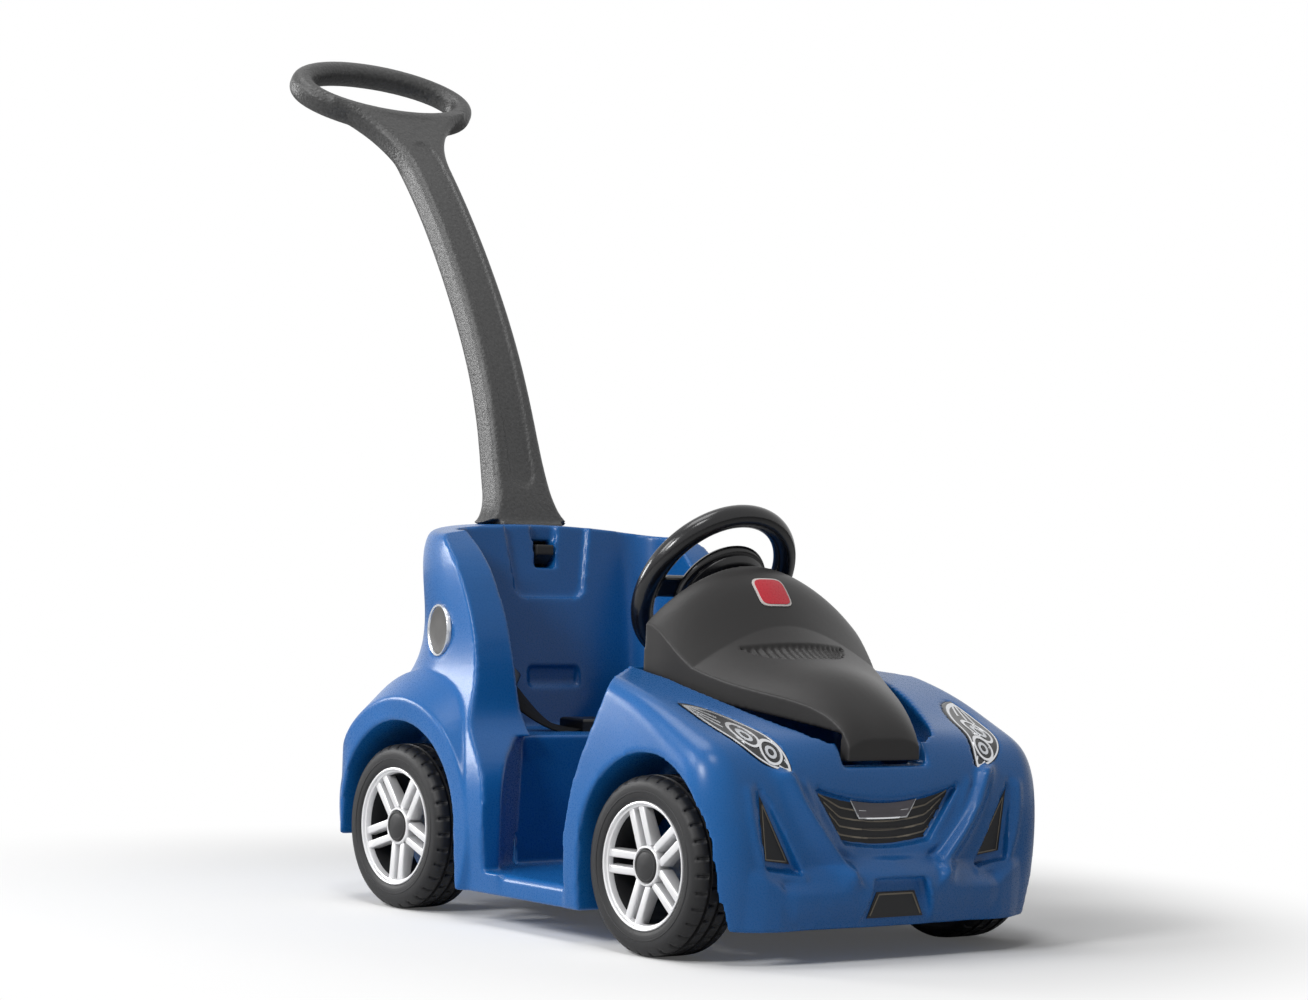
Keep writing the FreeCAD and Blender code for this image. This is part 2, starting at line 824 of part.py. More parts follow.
def cowl():
    """Upright hump behind the bonnet that carries the steering column and the bonnet hinge."""
    side = chain([
        at(0, -cowl_front, cowl_root), at(0, -cowl_front, cowl_top), at(0, -cowl_top_back, cowl_top),
        at(0, -cowl_back, cowl_shoulder), at(0, -cowl_back, cowl_root), at(0, -cowl_front, cowl_root)])
    block = slab(side, X * (2 * cowl_half))
    block.translate(at(-cowl_half, 0, 0))
    front = [
        line(at(cowl_half, 0, cowl_root), at(cowl_half, 0, cowl_root + (cowl_shoulder - cowl_root) / 2)),
        line(at(cowl_half, 0, cowl_root + (cowl_shoulder - cowl_root) / 2),
             at(cowl_shoulder_half, 0, cowl_shoulder)),
        arc(at(cowl_shoulder_half, 0, cowl_shoulder), at(0, 0, cowl_top),
            at(-cowl_shoulder_half, 0, cowl_shoulder)),
        line(at(-cowl_shoulder_half, 0, cowl_shoulder),
             at(-cowl_half, 0, cowl_root + (cowl_shoulder - cowl_root) / 2)),
        line(at(-cowl_half, 0, cowl_root + (cowl_shoulder - cowl_root) / 2), at(-cowl_half, 0, cowl_root)),
        line(at(-cowl_half, 0, cowl_root), at(cowl_half, 0, cowl_root)),
    ]
    arch = slab(front, Y * nose_reach)
    arch.translate(at(0, -nose_reach, 0))
    hump = block.common(arch)
    for side_sign in (-1, 1):
        x0 = hinge_ear_inner if side_sign > 0 else -hinge_ear_inner - hinge_ear_thickness
        ear = rod(hinge_ear_radius, at(x0, -hinge_y, hinge_z), at(x0 + hinge_ear_thickness, -hinge_y, hinge_z))
        arm = slab(chain([
            at(x0, -hinge_y, hinge_z + hinge_ear_radius), at(x0, -hinge_y, hinge_z - hinge_ear_radius),
            at(x0, -cowl_front, hinge_z - hinge_ear_drop),
            at(x0, -cowl_top_back, hinge_z - hinge_ear_drop),
            at(x0, -cowl_top_back, cowl_shoulder + hinge_ear_radius),
            at(x0, -cowl_front, hinge_z - hinge_ear_radius / 2),
            at(x0, -hinge_y, hinge_z + hinge_ear_radius)]), X * hinge_ear_thickness)
        hump = hump.fuse(ear).fuse(arm)
    return hump


column_axis = at(0, -math.cos(math.radians(wheel_tilt)), -math.sin(math.radians(wheel_tilt)))
wheel_centre = at(0, -wheel_y, wheel_z)


def along_column(distance):
    return wheel_centre + column_axis * distance


def column_face():
    """Distance along the column from the wheel's middle to the seat cut in the cowl."""
    return wheel_hub_depth + bush_flange + bush_gap


def body_shell(nose):
    floor = box(-sill_half_width, sill_half_width, -nose_back - overrun, seat_front, underside_height,
                floor_height)
    long_edges = [e for e in edges_along(floor, Y) if e.BoundBox.ZMin > underside_height]
    floor = floor.makeFillet(sill_round, long_edges)
    tail = tail_loft()
    for side in (-1, 1):
        tail = tail.fuse(rear_flare(side))
    tail = tail.cut(seat_edge_cut()).cut(seat_hollow()).cut(leg_recess())
    tail = tail.cut(back_recesses()).cut(socket_cut())
    lift = slab(chain([
        at(0, tail_lift_start, underside_height), at(0, 2 * tail_reach, underside_height + 2 * tail_lift),
        at(0, 2 * tail_reach, 0), at(0, tail_lift_start, 0), at(0, tail_lift_start, underside_height)]),
        X * (2 * flare_face))
    lift.translate(at(-flare_face, 0, 0))
    raised = box(-flare_face, flare_face, tail_lift_start + tail_lift, 2 * tail_reach, 0,
                 underside_height + tail_lift)
    tail = tail.cut(lift).cut(raised)
    front = nose.cut(face_cut(nose)).fuse(bumper_lip())
    front = front.cut(bonnet_recess_cut()).fuse(cowl())
    for recess in nose_recesses():
        front = front.cut(recess)
    shell = front.fuse(floor).fuse(tail)
    for side in (-1, 1):
        shell = shell.cut(arch_cut(side, -wheelbase / 2, front_arch_radius, front_arch_height,
                                   front_arch_spread))
        shell = shell.cut(arch_cut(side, wheelbase / 2 - rear_arch_shift, rear_arch_radius,
                                   rear_arch_height, rear_arch_spread))
        shell = shell.cut(headlight(nose, side))
        shell = shell.cut(fuel_cap_pocket_cut(side))
    for y in (-wheelbase / 2, wheelbase / 2):
        shell = shell.cut(rod(axle_radius, at(-body_half_width, y, axle_height),
                              at(body_half_width, y, axle_height)))
    seat = along_column(column_face())
    shell = shell.cut(rod(bush_radius, seat, along_column(shaft_length + overrun)))
    shell = shell.cut(rod(bush_flange_radius + overrun, seat - column_axis * overrun, seat))
    shell = shell.cut(rod(clip_radius + clip_room, along_column(shaft_length - clip_thickness - clip_gap),
                          along_column(shaft_length + overrun)))
    shell = shell.cut(rod(hinge_pin_radius, at(-body_half_width / 2, -hinge_y, hinge_z),
                          at(body_half_width / 2, -hinge_y, hinge_z)))
    return shell.removeSplitter()


def fuel_cap_axis(side):
    turn = math.radians(fuel_cap_turn)
    return at(side * math.cos(turn), math.sin(turn), 0)


def fuel_cap_pocket_cut(side):
    outer = at(side * fuel_cap_x, fuel_cap_y, fuel_cap_height)
    axis = fuel_cap_axis(side)
    return rod(fuel_cap_radius, outer - axis * fuel_cap_pocket, outer + axis * overrun)


def fuel_cap(side):
    """Round cap let into the tower's side: a dished disc inside a raised ring."""
    axis = fuel_cap_axis(side)
    back = at(side * fuel_cap_x, fuel_cap_y, fuel_cap_height) - axis * fuel_cap_pocket
    rim = rod(fuel_cap_radius - panel_gap / 2, back, back + axis * (fuel_cap_wall + fuel_cap_ring / 2))
    dish = rod(fuel_cap_radius - fuel_cap_ring, back + axis * fuel_cap_wall, back + axis * overrun)
    return rim.cut(dish)


# Bonnet

def hood_outline(row, wall):
    """Arched section across the bonnet; wall draws the section in for the hollow."""
    place, half, shoulder, crown, crest = row
    y = -hood_back - (hood_front - hood_back) * place
    rise = hood_crest - hood_base_back
    w = hood_half_width * half - wall
    low = tongue_low - overrun
    z = [hood_base_back + rise * share - wall for share in (shoulder, crown, crest)]
    xs = w * hood_shoulder_share
    xc = w * hood_crown_share
    return Part.Wire([
        line(at(-w, y, low), at(-xs, y, z[0])),
        curve([at(-xs, y, z[0]), at(-xc, y, z[1]), at(0, y, z[2]), at(xc, y, z[1]), at(xs, y, z[0])]),
        line(at(xs, y, z[0]), at(w, y, low)),
        line(at(w, y, low), at(-w, y, low)),
    ])


def hood_base_cut(drop):
    """Everything below the sloping plane on which the bonnet rests."""
    run = hood_front - hood_back
    fall = (hood_base_back - hood_base_front) / run
    far = nose_reach + overrun
    solid = slab(chain([
        at(0, overrun, hood_base_back + fall * (hood_back + overrun) - drop),
        at(0, -far, hood_base_back + fall * (hood_back - far) - drop),
        at(0, -far, 0), at(0, overrun, 0),
        at(0, overrun, hood_base_back + fall * (hood_back + overrun) - drop)]), X * (2 * body_half_width))
    solid.translate(at(-body_half_width, 0, 0))
    return solid


def hood_tongue_room():
    """Space in which the bonnet's front end keeps its turned-down lip."""
    return box(-hood_half_width, hood_half_width, -hood_front, tongue_depth - hood_front, tongue_low, hood_crest)


def hood_vent(grow):
    """Smile-shaped column through the bonnet's vent, its outline grown all round."""
    tip = at(vent_recess_half + grow, -vent_recess_back + grow, 0)
    other = at(-tip.x, tip.y, 0)
    outline = [
        arc(other, at(0, -vent_recess_front - grow, 0), tip),
        arc(tip, at(0, -vent_recess_middle + grow, 0), other),
    ]
    return slab(outline, Z * hood_crest)


def lowered(shape, drop):
    moved = shape.copy()
    moved.translate(at(0, 0, -drop))
    return moved


def vent_slats():
    """Upright slats across the vent."""
    count = int(2 * vent_recess_half / vent_slat_pitch)
    first = -vent_slat_pitch * (count - 1) / 2
    slats = []
    for i in range(count):
        x = first + vent_slat_pitch * i
        slats.append(box(x - vent_slat_thickness / 2, x + vent_slat_thickness / 2, -vent_recess_front - overrun,
                         -vent_recess_back + overrun, 0, hood_crest))
    return Part.makeCompound(slats)


def hood_panel():
    outer = loft([hood_outline(row, 0) for row in hood_shares])
    inner = loft([hood_outline(row, hood_wall) for row in hood_shares])
    inner.translate(at(0, hood_wall, 0))
    pocket = hood_vent(0).cut(lowered(outer, vent_recess_depth))
    pocket = pocket.cut(vent_slats().common(lowered(outer, vent_slat_top)))
    tray = lowered(outer, vent_rim).common(hood_vent(vent_rim))
    tray = tray.cut(lowered(outer, vent_recess_depth + vent_floor_wall))
    lid = outer.cut(inner).fuse(tray).cut(pocket)
    lid = lid.cut(hood_base_cut(0)).fuse(outer.common(hood_tongue_room()))
    for side in (-1, 1):
        x0 = hinge_ear_inner - hinge_side_gap - hinge_lug_thickness
        if side < 0:
            x0 = -hinge_ear_inner + hinge_side_gap
        lug = rod(hinge_ear_radius, at(x0, -hinge_y, hinge_z), at(x0 + hinge_lug_thickness, -hinge_y, hinge_z))
        web = box(x0, x0 + hinge_lug_thickness, -hinge_y - hinge_ear_radius, -hinge_y + hinge_ear_radius,
                  hinge_z, hood_crest)
        lid = lid.fuse(lug.fuse(web).common(outer))
    reach = hinge_ear_inner + hinge_ear_thickness
    bore = rod(hinge_pin_radius + running_clearance, at(-reach, -hinge_y, hinge_z), at(reach, -hinge_y, hinge_z))
    return lid.cut(bore).removeSplitter()


def hood_hinge_pin():
    end = hinge_ear_inner + hinge_ear_thickness
    return rod(hinge_pin_radius, at(-end, -hinge_y, hinge_z), at(end, -hinge_y, hinge_z))


# Steering

def place_on_column(shape, distance):
    """Turns a shape built round +Z so that +Z points back at the driver along the column."""
    turned = shape.copy()
    turned.rotate(at(0, 0, 0), X, wheel_tilt - 90)
    turned.translate(along_column(distance))
    return turned


def steering_wheel():
    ring = Part.makeTorus(wheel_ring_radius, wheel_tube_radius)
    hub = Part.makeCone(wheel_hub_radius * wheel_hub_share, wheel_hub_radius, wheel_hub_depth,
                        at(0, 0, -wheel_hub_depth))
    for angle in spoke_angles:
        bar = box(wheel_hub_radius / 2, wheel_ring_radius, -spoke_width / 2, spoke_width / 2,
                  -spoke_thickness, 0)
        bar = bar.makeFillet(spoke_round, edges_along(bar, X))
        bar.rotate(at(0, 0, 0), Z, angle)
        ring = ring.fuse(bar)
    solid = ring.fuse(hub)
    pocket = Part.makeCylinder(horn_radius + horn_side_gap, horn_pocket, at(0, 0, -horn_pocket))
    bore = Part.makeCylinder(shaft_radius, wheel_hub_depth - horn_pocket, at(0, 0, -wheel_hub_depth))
    return place_on_column(solid.cut(pocket).cut(bore).removeSplitter(), 0)


def horn_button():
    """Domed button whose skirt slides in the wheel's hub."""
    low = horn_stand - horn_height
    body = Part.makeCylinder(horn_radius, horn_height, at(0, 0, low))
    top = [e for e in body.Edges if e.BoundBox.ZMin > 0 and e.Closed]
    body = body.makeFillet(horn_stand, top)
    hollow = Part.makeCylinder(horn_radius - horn_stand, horn_height - horn_stand, at(0, 0, low))
    return place_on_column(body.cut(hollow), 0)


def horn_spring():
    """Rubber dome that lifts the button."""
    low = at(0, 0, -horn_pocket)
    outer = Part.makeCone(spring_radius, spring_top_radius, horn_pocket, low)
    inner = Part.makeCone(spring_radius - spring_wall, spring_top_radius - spring_wall, horn_pocket, low)
    return place_on_column(outer.cut(inner), 0)


def steering_shaft():
    return rod(shaft_radius, along_column(horn_pocket), along_column(shaft_length))


def steering_bush():
    """Flanged sleeve pressed into the cowl."""
    seat = along_column(column_face())
    sleeve = rod(bush_radius, seat, along_column(shaft_length - clip_thickness - clip_gap))
    flange = rod(bush_flange_radius, seat - column_axis * bush_flange, seat)
    bore = rod(shaft_radius + running_clearance, wheel_centre, along_column(shaft_length + overrun))
    return sleeve.fuse(flange).cut(bore)


def steering_clip():
    """Ring that keeps the shaft from pulling out."""
    end = along_column(shaft_length)
    ring = rod(clip_radius, end - column_axis * clip_thickness, end)
    return ring.cut(rod(shaft_radius, wheel_centre, along_column(shaft_length + overrun)))


# Push handle

def arm_points():
    return [at(0, arm_base_y + (arm_top_y - arm_base_y) * y, arm_base_z + (arm_top_z - arm_base_z) * z)
            for y, z, w, t in arm_shares]


def arm_back(points, i):
    """Unit vector square to the arm at point i, towards the back of the car."""
    before = points[max(i - 1, 0)]
    after = points[min(i + 1, len(points) - 1)]
    run = (after - before).normalize()
    return at(0, run.z, -run.y)


def arm_front():
    """Points down the middle of the arm's front face."""
    points = arm_points()
    return [p - arm_back(points, i) * (arm_thickness * arm_shares[i][3] / 2) for i, p in enumerate(points)]


def handle_arm():
    """Arm cut from a bowed band by its front outline, waisted in the middle, with rounded edges."""
    points = arm_points()
    backs = [arm_back(points, i) for i in range(len(points))]
    halves = [arm_thickness * row[3] / 2 for row in arm_shares]
    front = arm_front()
    rear = [p + b * h for p, b, h in zip(points, backs, halves)]
    reach = arm_width * arm_shares[-1][2]
    band = slab([curve(front), line(front[-1], rear[-1]), curve(rear[::-1]), line(rear[0], front[0])],
                X * (2 * reach))
    band.translate(at(-reach, 0, 0))
    right = [at(arm_width * row[2] / 2, 0, p.z) for row, p in zip(arm_shares, points)]
    right = [right[0] * 2 - right[1]] + right + [right[-1] * 2 - right[-2]]
    left = [at(-p.x, 0, p.z) for p in right]
    outline = slab([curve(right), line(right[-1], left[-1]), curve(left[::-1]), line(left[0], right[0])],
                   Y * (2 * arm_top_y))
    arm = band.common(outline)
    long_edges = [e for e in arm.Edges if e.BoundBox.ZLength > arm_width]
    return arm.makeFillet(arm_round, long_edges)


def handle_panel():
    """Long shallow recess down the front of the arm, with rounded ends."""
    front = arm_front()
    outer = [p - Y * overrun for p in front]
    inner = [p + Y * arm_panel_depth for p in front]
    strip = slab([curve(outer), line(outer[-1], inner[-1]), curve(inner[::-1]), line(inner[0], outer[0])],
                 X * (2 * arm_panel_half))
    strip.translate(at(-arm_panel_half, 0, 0))
    tall = box(-arm_panel_half, arm_panel_half, 0, arm_top_y, arm_panel_low, arm_panel_high)
    low_end = rod(arm_panel_half, at(0, 0, arm_panel_low), at(0, arm_top_y, arm_panel_low))
    high_end = rod(arm_panel_half, at(0, 0, arm_panel_high), at(0, arm_top_y, arm_panel_high))
    return strip.common(joined([tall, low_end, high_end]))


def handle_loop():
    """Oval grip: an oval plate with an oval hole and all its edges rounded."""
    low = at(0, 0, -loop_thickness / 2)
    outer = Part.Ellipse(at(0, 0, 0), loop_half_width, loop_half_length).toShape()
    hole = Part.Ellipse(at(0, 0, 0), loop_hole_half_width, loop_hole_half_length).toShape()
    plate = slab([outer], Z * loop_thickness).cut(slab([hole], Z * loop_thickness))
    plate = plate.makeFillet(loop_round, [e for e in plate.Edges if e.Closed])
    plate.translate(low)
    plate.rotate(at(0, 0, 0), X, loop_tilt)
    plate.translate(at(0, loop_y, loop_z))
    return plate


def handle_web():
    """Web that spreads the arm out into the grip, hollowed at both sides."""
    middle_length = (loop_half_length + loop_hole_half_length) / 2
    wide = loop_half_width * web_spread_share
    up = middle_length - loop_half_length * math.sqrt(1 - web_spread_share ** 2) + web_tuck
    narrow = arm_width / 2
    low = -web_length
    spread = wide - narrow
    radius = (spread ** 2 + (up - low) ** 2) / (2 * spread)
    half_turn = math.atan2(up - low, radius - spread) / 2
    waist = narrow + radius * (1 - math.cos(half_turn))
    level = low + radius * math.sin(half_turn)
    outline = [
        arc(at(wide, up, 0), at(waist, level, 0), at(narrow, low, 0)),
        line(at(narrow, low, 0), at(-narrow, low, 0)),
        arc(at(-narrow, low, 0), at(-waist, level, 0), at(-wide, up, 0)),
        line(at(-wide, up, 0), at(-wide, up + web_round, 0)),
        arc(at(-wide, up + web_round, 0), at(0, 0, 0), at(wide, up + web_round, 0)),
        line(at(wide, up + web_round, 0), at(wide, up, 0)),
    ]
    plate = slab(outline, Z * web_thickness)
    upright = [e.hashCode() for e in edges_along(plate, Z)]
    hollows = [e for e in plate.Edges if wide > abs(e.CenterOfMass.x) > narrow and e.hashCode() not in upright]
    plate = plate.makeFillet(web_round, hollows)
    plate.translate(at(0, 0, -web_thickness / 2))
    plate.rotate(at(0, 0, 0), X, web_tilt)
    tilt = math.radians(loop_tilt)
    plate.translate(at(0, loop_y - middle_length * math.cos(tilt), loop_z - middle_length * math.sin(tilt)))
    return plate


def push_handle():
    below = box(-arm_top_y, arm_top_y, 0, arm_top_y, 0, arm_base_z)
    arm = handle_arm().cut(below)
    tang = rounded_bar(tang_half_width, tang_front, tang_front + tang_thickness, arm_base_z - socket_depth,
                       arm_base_z + tang_corner, tang_corner)
    pocket = box(-tab_half_width - tab_side_gap, tab_half_width + tab_side_gap, tang_front - overrun,
                 tang_front + tab_root + tab_travel + seat_gap, tab_low - seat_gap, tab_high + tab_side_gap)
    return arm.fuse([handle_web(), handle_loop(), tang]).cut(handle_panel()).cut(pocket)


def handle_latch():
    """Springy tab on the tang that clicks into the window of the seat back."""
    side = chain([
        at(0, tang_front + tab_root, tab_low), at(0, tang_front + tab_root, tab_high),
        at(0, tab_front, tab_high), at(0, tab_front, tab_high - (tab_high - tab_low) / 2),
        at(0, tab_front + (tang_front - tab_front) / 2, tab_low), at(0, tang_front + tab_root, tab_low)])
    solid = slab(side, X * (2 * tab_half_width))
    solid.translate(at(-tab_half_width, 0, 0))
    return solid


# Wheels

def tyre():
    """Tyre turned round its axle, with rounded shoulders and ribs between round grooves."""
    half = tyre_width / 2
    r = tyre_radius
    s = tyre_shoulder
    dip = s * (1 - math.sqrt(0.5))
    top = [at(half - s, r, 0)]
    for share in tread_groove_shares:
        middle = half - tyre_width * share
        top += [at(middle + tread_groove / 2, r, 0), at(middle + tread_groove / 2, r - tread_groove_depth, 0),
                at(middle - tread_groove / 2, r - tread_groove_depth, 0), at(middle - tread_groove / 2, r, 0)]
    top.append(at(s - half, r, 0))
    edges = chain(top)
    edges.append(arc(at(s - half, r, 0), at(dip - half, r - dip, 0), at(-half, r - s, 0)))
    edges.append(line(at(-half, r - s, 0), at(rim_inset - half, rim_radius, 0)))
    edges.append(line(at(rim_inset - half, rim_radius, 0), at(half - rim_inset, rim_radius, 0)))
    edges.append(line(at(half - rim_inset, rim_radius, 0), at(half, r - s, 0)))
    edges.append(arc(at(half, r - s, 0), at(half - dip, r - dip, 0), at(half - s, r, 0)))
    return Part.Face(Part.Wire(edges)).revolve(at(0, 0, 0), X, 360)


def wheel_rim():
    """Barrel with a stepped lip, five pairs of spokes and a hub; +X is the outer face."""
    half = tyre_width / 2 - rim_inset
    lip = rim_radius - rim_wall
    profile = chain([
        at(-half, rim_radius, 0), at(half, rim_radius, 0), at(half, lip, 0),
        at(half - rim_lip, lip, 0), at(half - rim_lip - rim_spoke_dish, lip - rim_lip, 0),
        at(-half, lip, 0), at(-half, rim_radius, 0)])
    barrel = Part.Face(Part.Wire(profile)).revolve(at(0, 0, 0), X, 360)
    face = half - rim_lip
    inner = hub_inner - (tyre_outer - tyre_width / 2)
    hub = rod(rim_hub_radius, at(inner, 0, 0), at(face, 0, 0))
    spokes = []
    for i in range(spoke_pairs):
        for side in (-1, 1):
            low = rim_spoke_gap / 2 if side > 0 else -rim_spoke_gap / 2 - rim_spoke_width
            edges = chain([
                at(face, low, rim_hub_radius / 2), at(face, low, lip + rim_wall / 2),
                at(face - rim_spoke_depth, low, lip + rim_wall / 2),
                at(face - rim_spoke_depth - rim_spoke_dish, low, rim_hub_radius / 2),
                at(face, low, rim_hub_radius / 2)])
            bar = slab(edges, Y * rim_spoke_width)
            bar.rotate(at(0, 0, 0), X, 360 / spoke_pairs * i)
            spokes.append(bar)
    rim = joined([barrel, hub] + spokes)
    pocket = rod(hub_cap_radius, at(hub_room_start(), 0, 0), at(tyre_width, 0, 0))
    bore = rod(hub_bush_radius, at(-tyre_width, 0, 0), at(tyre_width, 0, 0))
    return rim.cut(pocket).cut(bore)


def wheel_middle():
    return tyre_outer - tyre_width / 2


def hub_room_start():
    """Where the hub's outer pocket begins, clear behind the axle's nut, from the wheel's middle."""
    return axle_end - nut_thickness - nut_room - wheel_middle()


def wheel_bush():
    start = at(hub_inner - wheel_middle(), 0, 0)
    end = at(hub_room_start(), 0, 0)
    return rod(hub_bush_radius, start, end).cut(rod(axle_radius + running_clearance, start, end))


def hub_cap():
    """Low domed cap that closes the hub over the axle's nut."""
    outer = tyre_width / 2 - rim_inset - rim_lip
    start = axle_end + nut_room - wheel_middle()
    disc = rod(hub_cap_radius, at(start, 0, 0), at(outer, 0, 0))
    skirt = rod(hub_cap_radius, at(hub_room_start(), 0, 0), at(start, 0, 0))
    room = rod(nut_radius + nut_room, at(hub_room_start(), 0, 0), at(start, 0, 0))
    dome = Part.makeCone(hub_cap_radius, hub_cap_radius * hub_cap_top_share, hub_cap_dome, at(outer, 0, 0), X)
    return joined([disc, skirt.cut(room), dome])


def put_wheel(shape, side, y):
    """Stands a wheel piece at its corner of the car, turned as it came to rest."""
    moved = shape.copy()
    moved.rotate(at(0, 0, 0), X, -side * (front_wheel_turn if y < 0 else rear_wheel_turn))
    moved.translate(at(wheel_middle(), 0, 0))
    if side < 0:
        moved = mirrored(moved)
    moved.translate(at(0, y, axle_height))
    return moved


def axle(y):
    return rod(axle_radius, at(-axle_end, y, axle_height), at(axle_end, y, axle_height))


def wheel_spacers():
    """Sleeves on the axles that hold the wheels off the body."""
    sleeves = []
    for y in (-wheelbase / 2, wheelbase / 2):
        for side in (-1, 1):
            start = at(side * well_inner, y, axle_height)
            end = at(side * (hub_inner - spacer_gap), y, axle_height)
            sleeves.append(rod(spacer_radius, start, end).cut(rod(axle_radius, start, end)))
    return Part.makeCompound(sleeves)


def push_nuts():
    """Caps pressed on the axle ends."""
    nuts = []
    for y in (-wheelbase / 2, wheelbase / 2):
        for side in (-1, 1):
            start = at(side * (axle_end - nut_thickness), y, axle_height)
            end = at(side * axle_end, y, axle_height)
            nuts.append(rod(nut_radius, start, end).cut(rod(axle_radius, start, end)))
    return Part.makeCompound(nuts)


# Lap belt

def seat_wall(z):
    """Half width of the seat bucket at a height."""
    return seat_half_width + seat_half_flare * (z - seat_height) / (tower_top - seat_height)


def belt_strap(side):
    """Webbing from the wall of the seat down to the pan and on to the buckle."""
    t = belt_thickness
    wall = seat_wall(belt_wall_height) - anchor_plate
    pan = seat_height
    rise = math.atan2(belt_wall_height - pan, wall - belt_pan_x)
    lift = t / math.cos(rise)
    edges = chain([
        at(belt_end_x, 0, pan), at(belt_pan_x, 0, pan), at(wall, 0, belt_wall_height),
        at(wall, 0, belt_wall_height + lift), at(belt_pan_x, 0, pan + t), at(belt_end_x, 0, pan + t),
        at(belt_end_x, 0, pan)])
    solid = slab(edges, Y * belt_width)
    solid.translate(at(0, belt_y - belt_width / 2, 0))
    return solid if side > 0 else mirrored(solid)


def belt_anchor(side):
    """Plate that fixes the webbing to the seat's side."""
    x0 = seat_wall(belt_wall_height) - anchor_plate
    low = belt_wall_height - anchor_height / 2
    high = belt_wall_height + anchor_height / 2
    plate = slab(chain([at(x0, 0, low), at(seat_wall(low), 0, low), at(seat_wall(high), 0, high),
                        at(x0, 0, high), at(x0, 0, low)]), Y * anchor_width)
    plate.translate(at(0, belt_y - anchor_width / 2, 0))
    return plate if side > 0 else mirrored(plate)


def buckle_socket():
    block = box(-belt_end_x, buckle_split, belt_y - buckle_width / 2, belt_y + buckle_width / 2,
                seat_height, seat_height + buckle_height)
    return block.makeFillet(buckle_round, [e for e in block.Edges if e.BoundBox.ZMin > seat_height])


def buckle_tongue():
    block = box(buckle_split, belt_end_x, belt_y - buckle_width / 2, belt_y + buckle_width / 2,
                seat_height, seat_height + buckle_height)
    return block.makeFillet(buckle_round, [e for e in block.Edges if e.BoundBox.ZMin > seat_height])


# Panels in the nose

def grille_panel():
    """Thin grille panel with raised cross bars."""
    plate = slab(grille_outline(-grille_floor - panel_thickness, panel_gap), Y * panel_thickness)
    room = slab(grille_outline(-grille_floor - 2 * panel_thickness, 2 * panel_gap), Y * panel_thickness)
    step = (grille_top - grille_sag - grille_bottom) / (grille_bar_count + 1)
    for i in range(1, grille_bar_count + 1):
        z = grille_bottom + step * i
        bar = box(-grille_half, grille_half, -grille_floor - 2 * panel_thickness, -grille_floor,
                  z - grille_bar_height / 2, z + grille_bar_height / 2)
        plate = plate.fuse(bar.common(room))
    return plate.removeSplitter()


def vent_panel(side):
    return slab(vent_outline(side, -vent_floor - panel_thickness, panel_gap), Y * panel_thickness)


def chin_panel():
    return slab(chin_outline(-chin_floor - panel_thickness, chin_panel_low_half, chin_panel_top_half,
                             chin_panel_low, chin_panel_top), Y * panel_thickness)


nose = nose_block()
save("body_shell", body_shell(nose))
save("hood_panel", hood_panel())
save("hood_hinge_pin", hood_hinge_pin())
save("steering_wheel", steering_wheel())
save("steering_shaft", steering_shaft())
save("steering_bush", steering_bush())
save("steering_clip", steering_clip())
save("horn_button", horn_button())
save("horn_spring", horn_spring())
save("push_handle", push_handle())
save("handle_latch", handle_latch())
save("front_axle", axle(-wheelbase / 2))
save("rear_axle", axle(wheelbase / 2))
save("wheel_spacers", wheel_spacers())
save("push_nuts", push_nuts())
save("buckle_socket", buckle_socket())
save("buckle_tongue", buckle_tongue())
save("grille_panel", grille_panel())
save("chin_panel", chin_panel())
for word, side in (("left", 1), ("right", -1)):
    save("belt_strap_" + word, belt_strap(side))
    save("belt_anchor_" + word, belt_anchor(side))
    save("fuel_cap_" + word, fuel_cap(side))
    save("vent_panel_" + word, vent_panel(side))
    save("headlight_" + word, headlight(nose, side))
    for place, y in (("front", -wheelbase / 2), ("rear", wheelbase / 2)):
        for piece in (tyre, wheel_rim, wheel_bush, hub_cap):
            save(piece.__name__ + "_" + place + "_" + word, put_wheel(piece(), side, y))
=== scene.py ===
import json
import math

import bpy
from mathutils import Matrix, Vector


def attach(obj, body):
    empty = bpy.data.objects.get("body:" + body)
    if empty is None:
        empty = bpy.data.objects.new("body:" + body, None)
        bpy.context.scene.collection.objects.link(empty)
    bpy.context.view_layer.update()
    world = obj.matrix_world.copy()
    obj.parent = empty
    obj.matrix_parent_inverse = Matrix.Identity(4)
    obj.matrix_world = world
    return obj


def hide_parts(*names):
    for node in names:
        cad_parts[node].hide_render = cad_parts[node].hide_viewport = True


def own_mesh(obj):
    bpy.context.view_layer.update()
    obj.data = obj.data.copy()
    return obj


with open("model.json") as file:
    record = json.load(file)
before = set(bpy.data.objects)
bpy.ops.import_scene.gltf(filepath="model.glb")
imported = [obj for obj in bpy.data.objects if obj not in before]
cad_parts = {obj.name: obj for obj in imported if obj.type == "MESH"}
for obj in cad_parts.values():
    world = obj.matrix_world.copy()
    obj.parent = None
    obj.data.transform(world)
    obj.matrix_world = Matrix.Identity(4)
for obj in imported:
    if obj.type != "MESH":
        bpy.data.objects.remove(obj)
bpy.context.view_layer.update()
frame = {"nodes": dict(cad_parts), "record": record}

# %% [markdown]
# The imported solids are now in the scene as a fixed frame, in metres, with +Z up and the car's
# nose towards -Y. The box round them is kept first, because the finished looks have to keep to
# it. Places on the car are measured in millimetres from the middle of the wheelbase, as a maker
# would measure the toy, and mm carries such a place into the frame. Small sizes, such as the
# width of a bevel, are in metres, as Blender takes them.

nodes = frame["nodes"]
SHIFT = -0.18086
SIDES = {"left": 1, "right": -1}
STILL = Vector((0, 0, 0))


def mm(x, y, z):
    """A place in millimetres from the middle of the wheelbase, as a point of the frame."""
    return Vector((x / 1000, y / 1000 + SHIFT, z / 1000))


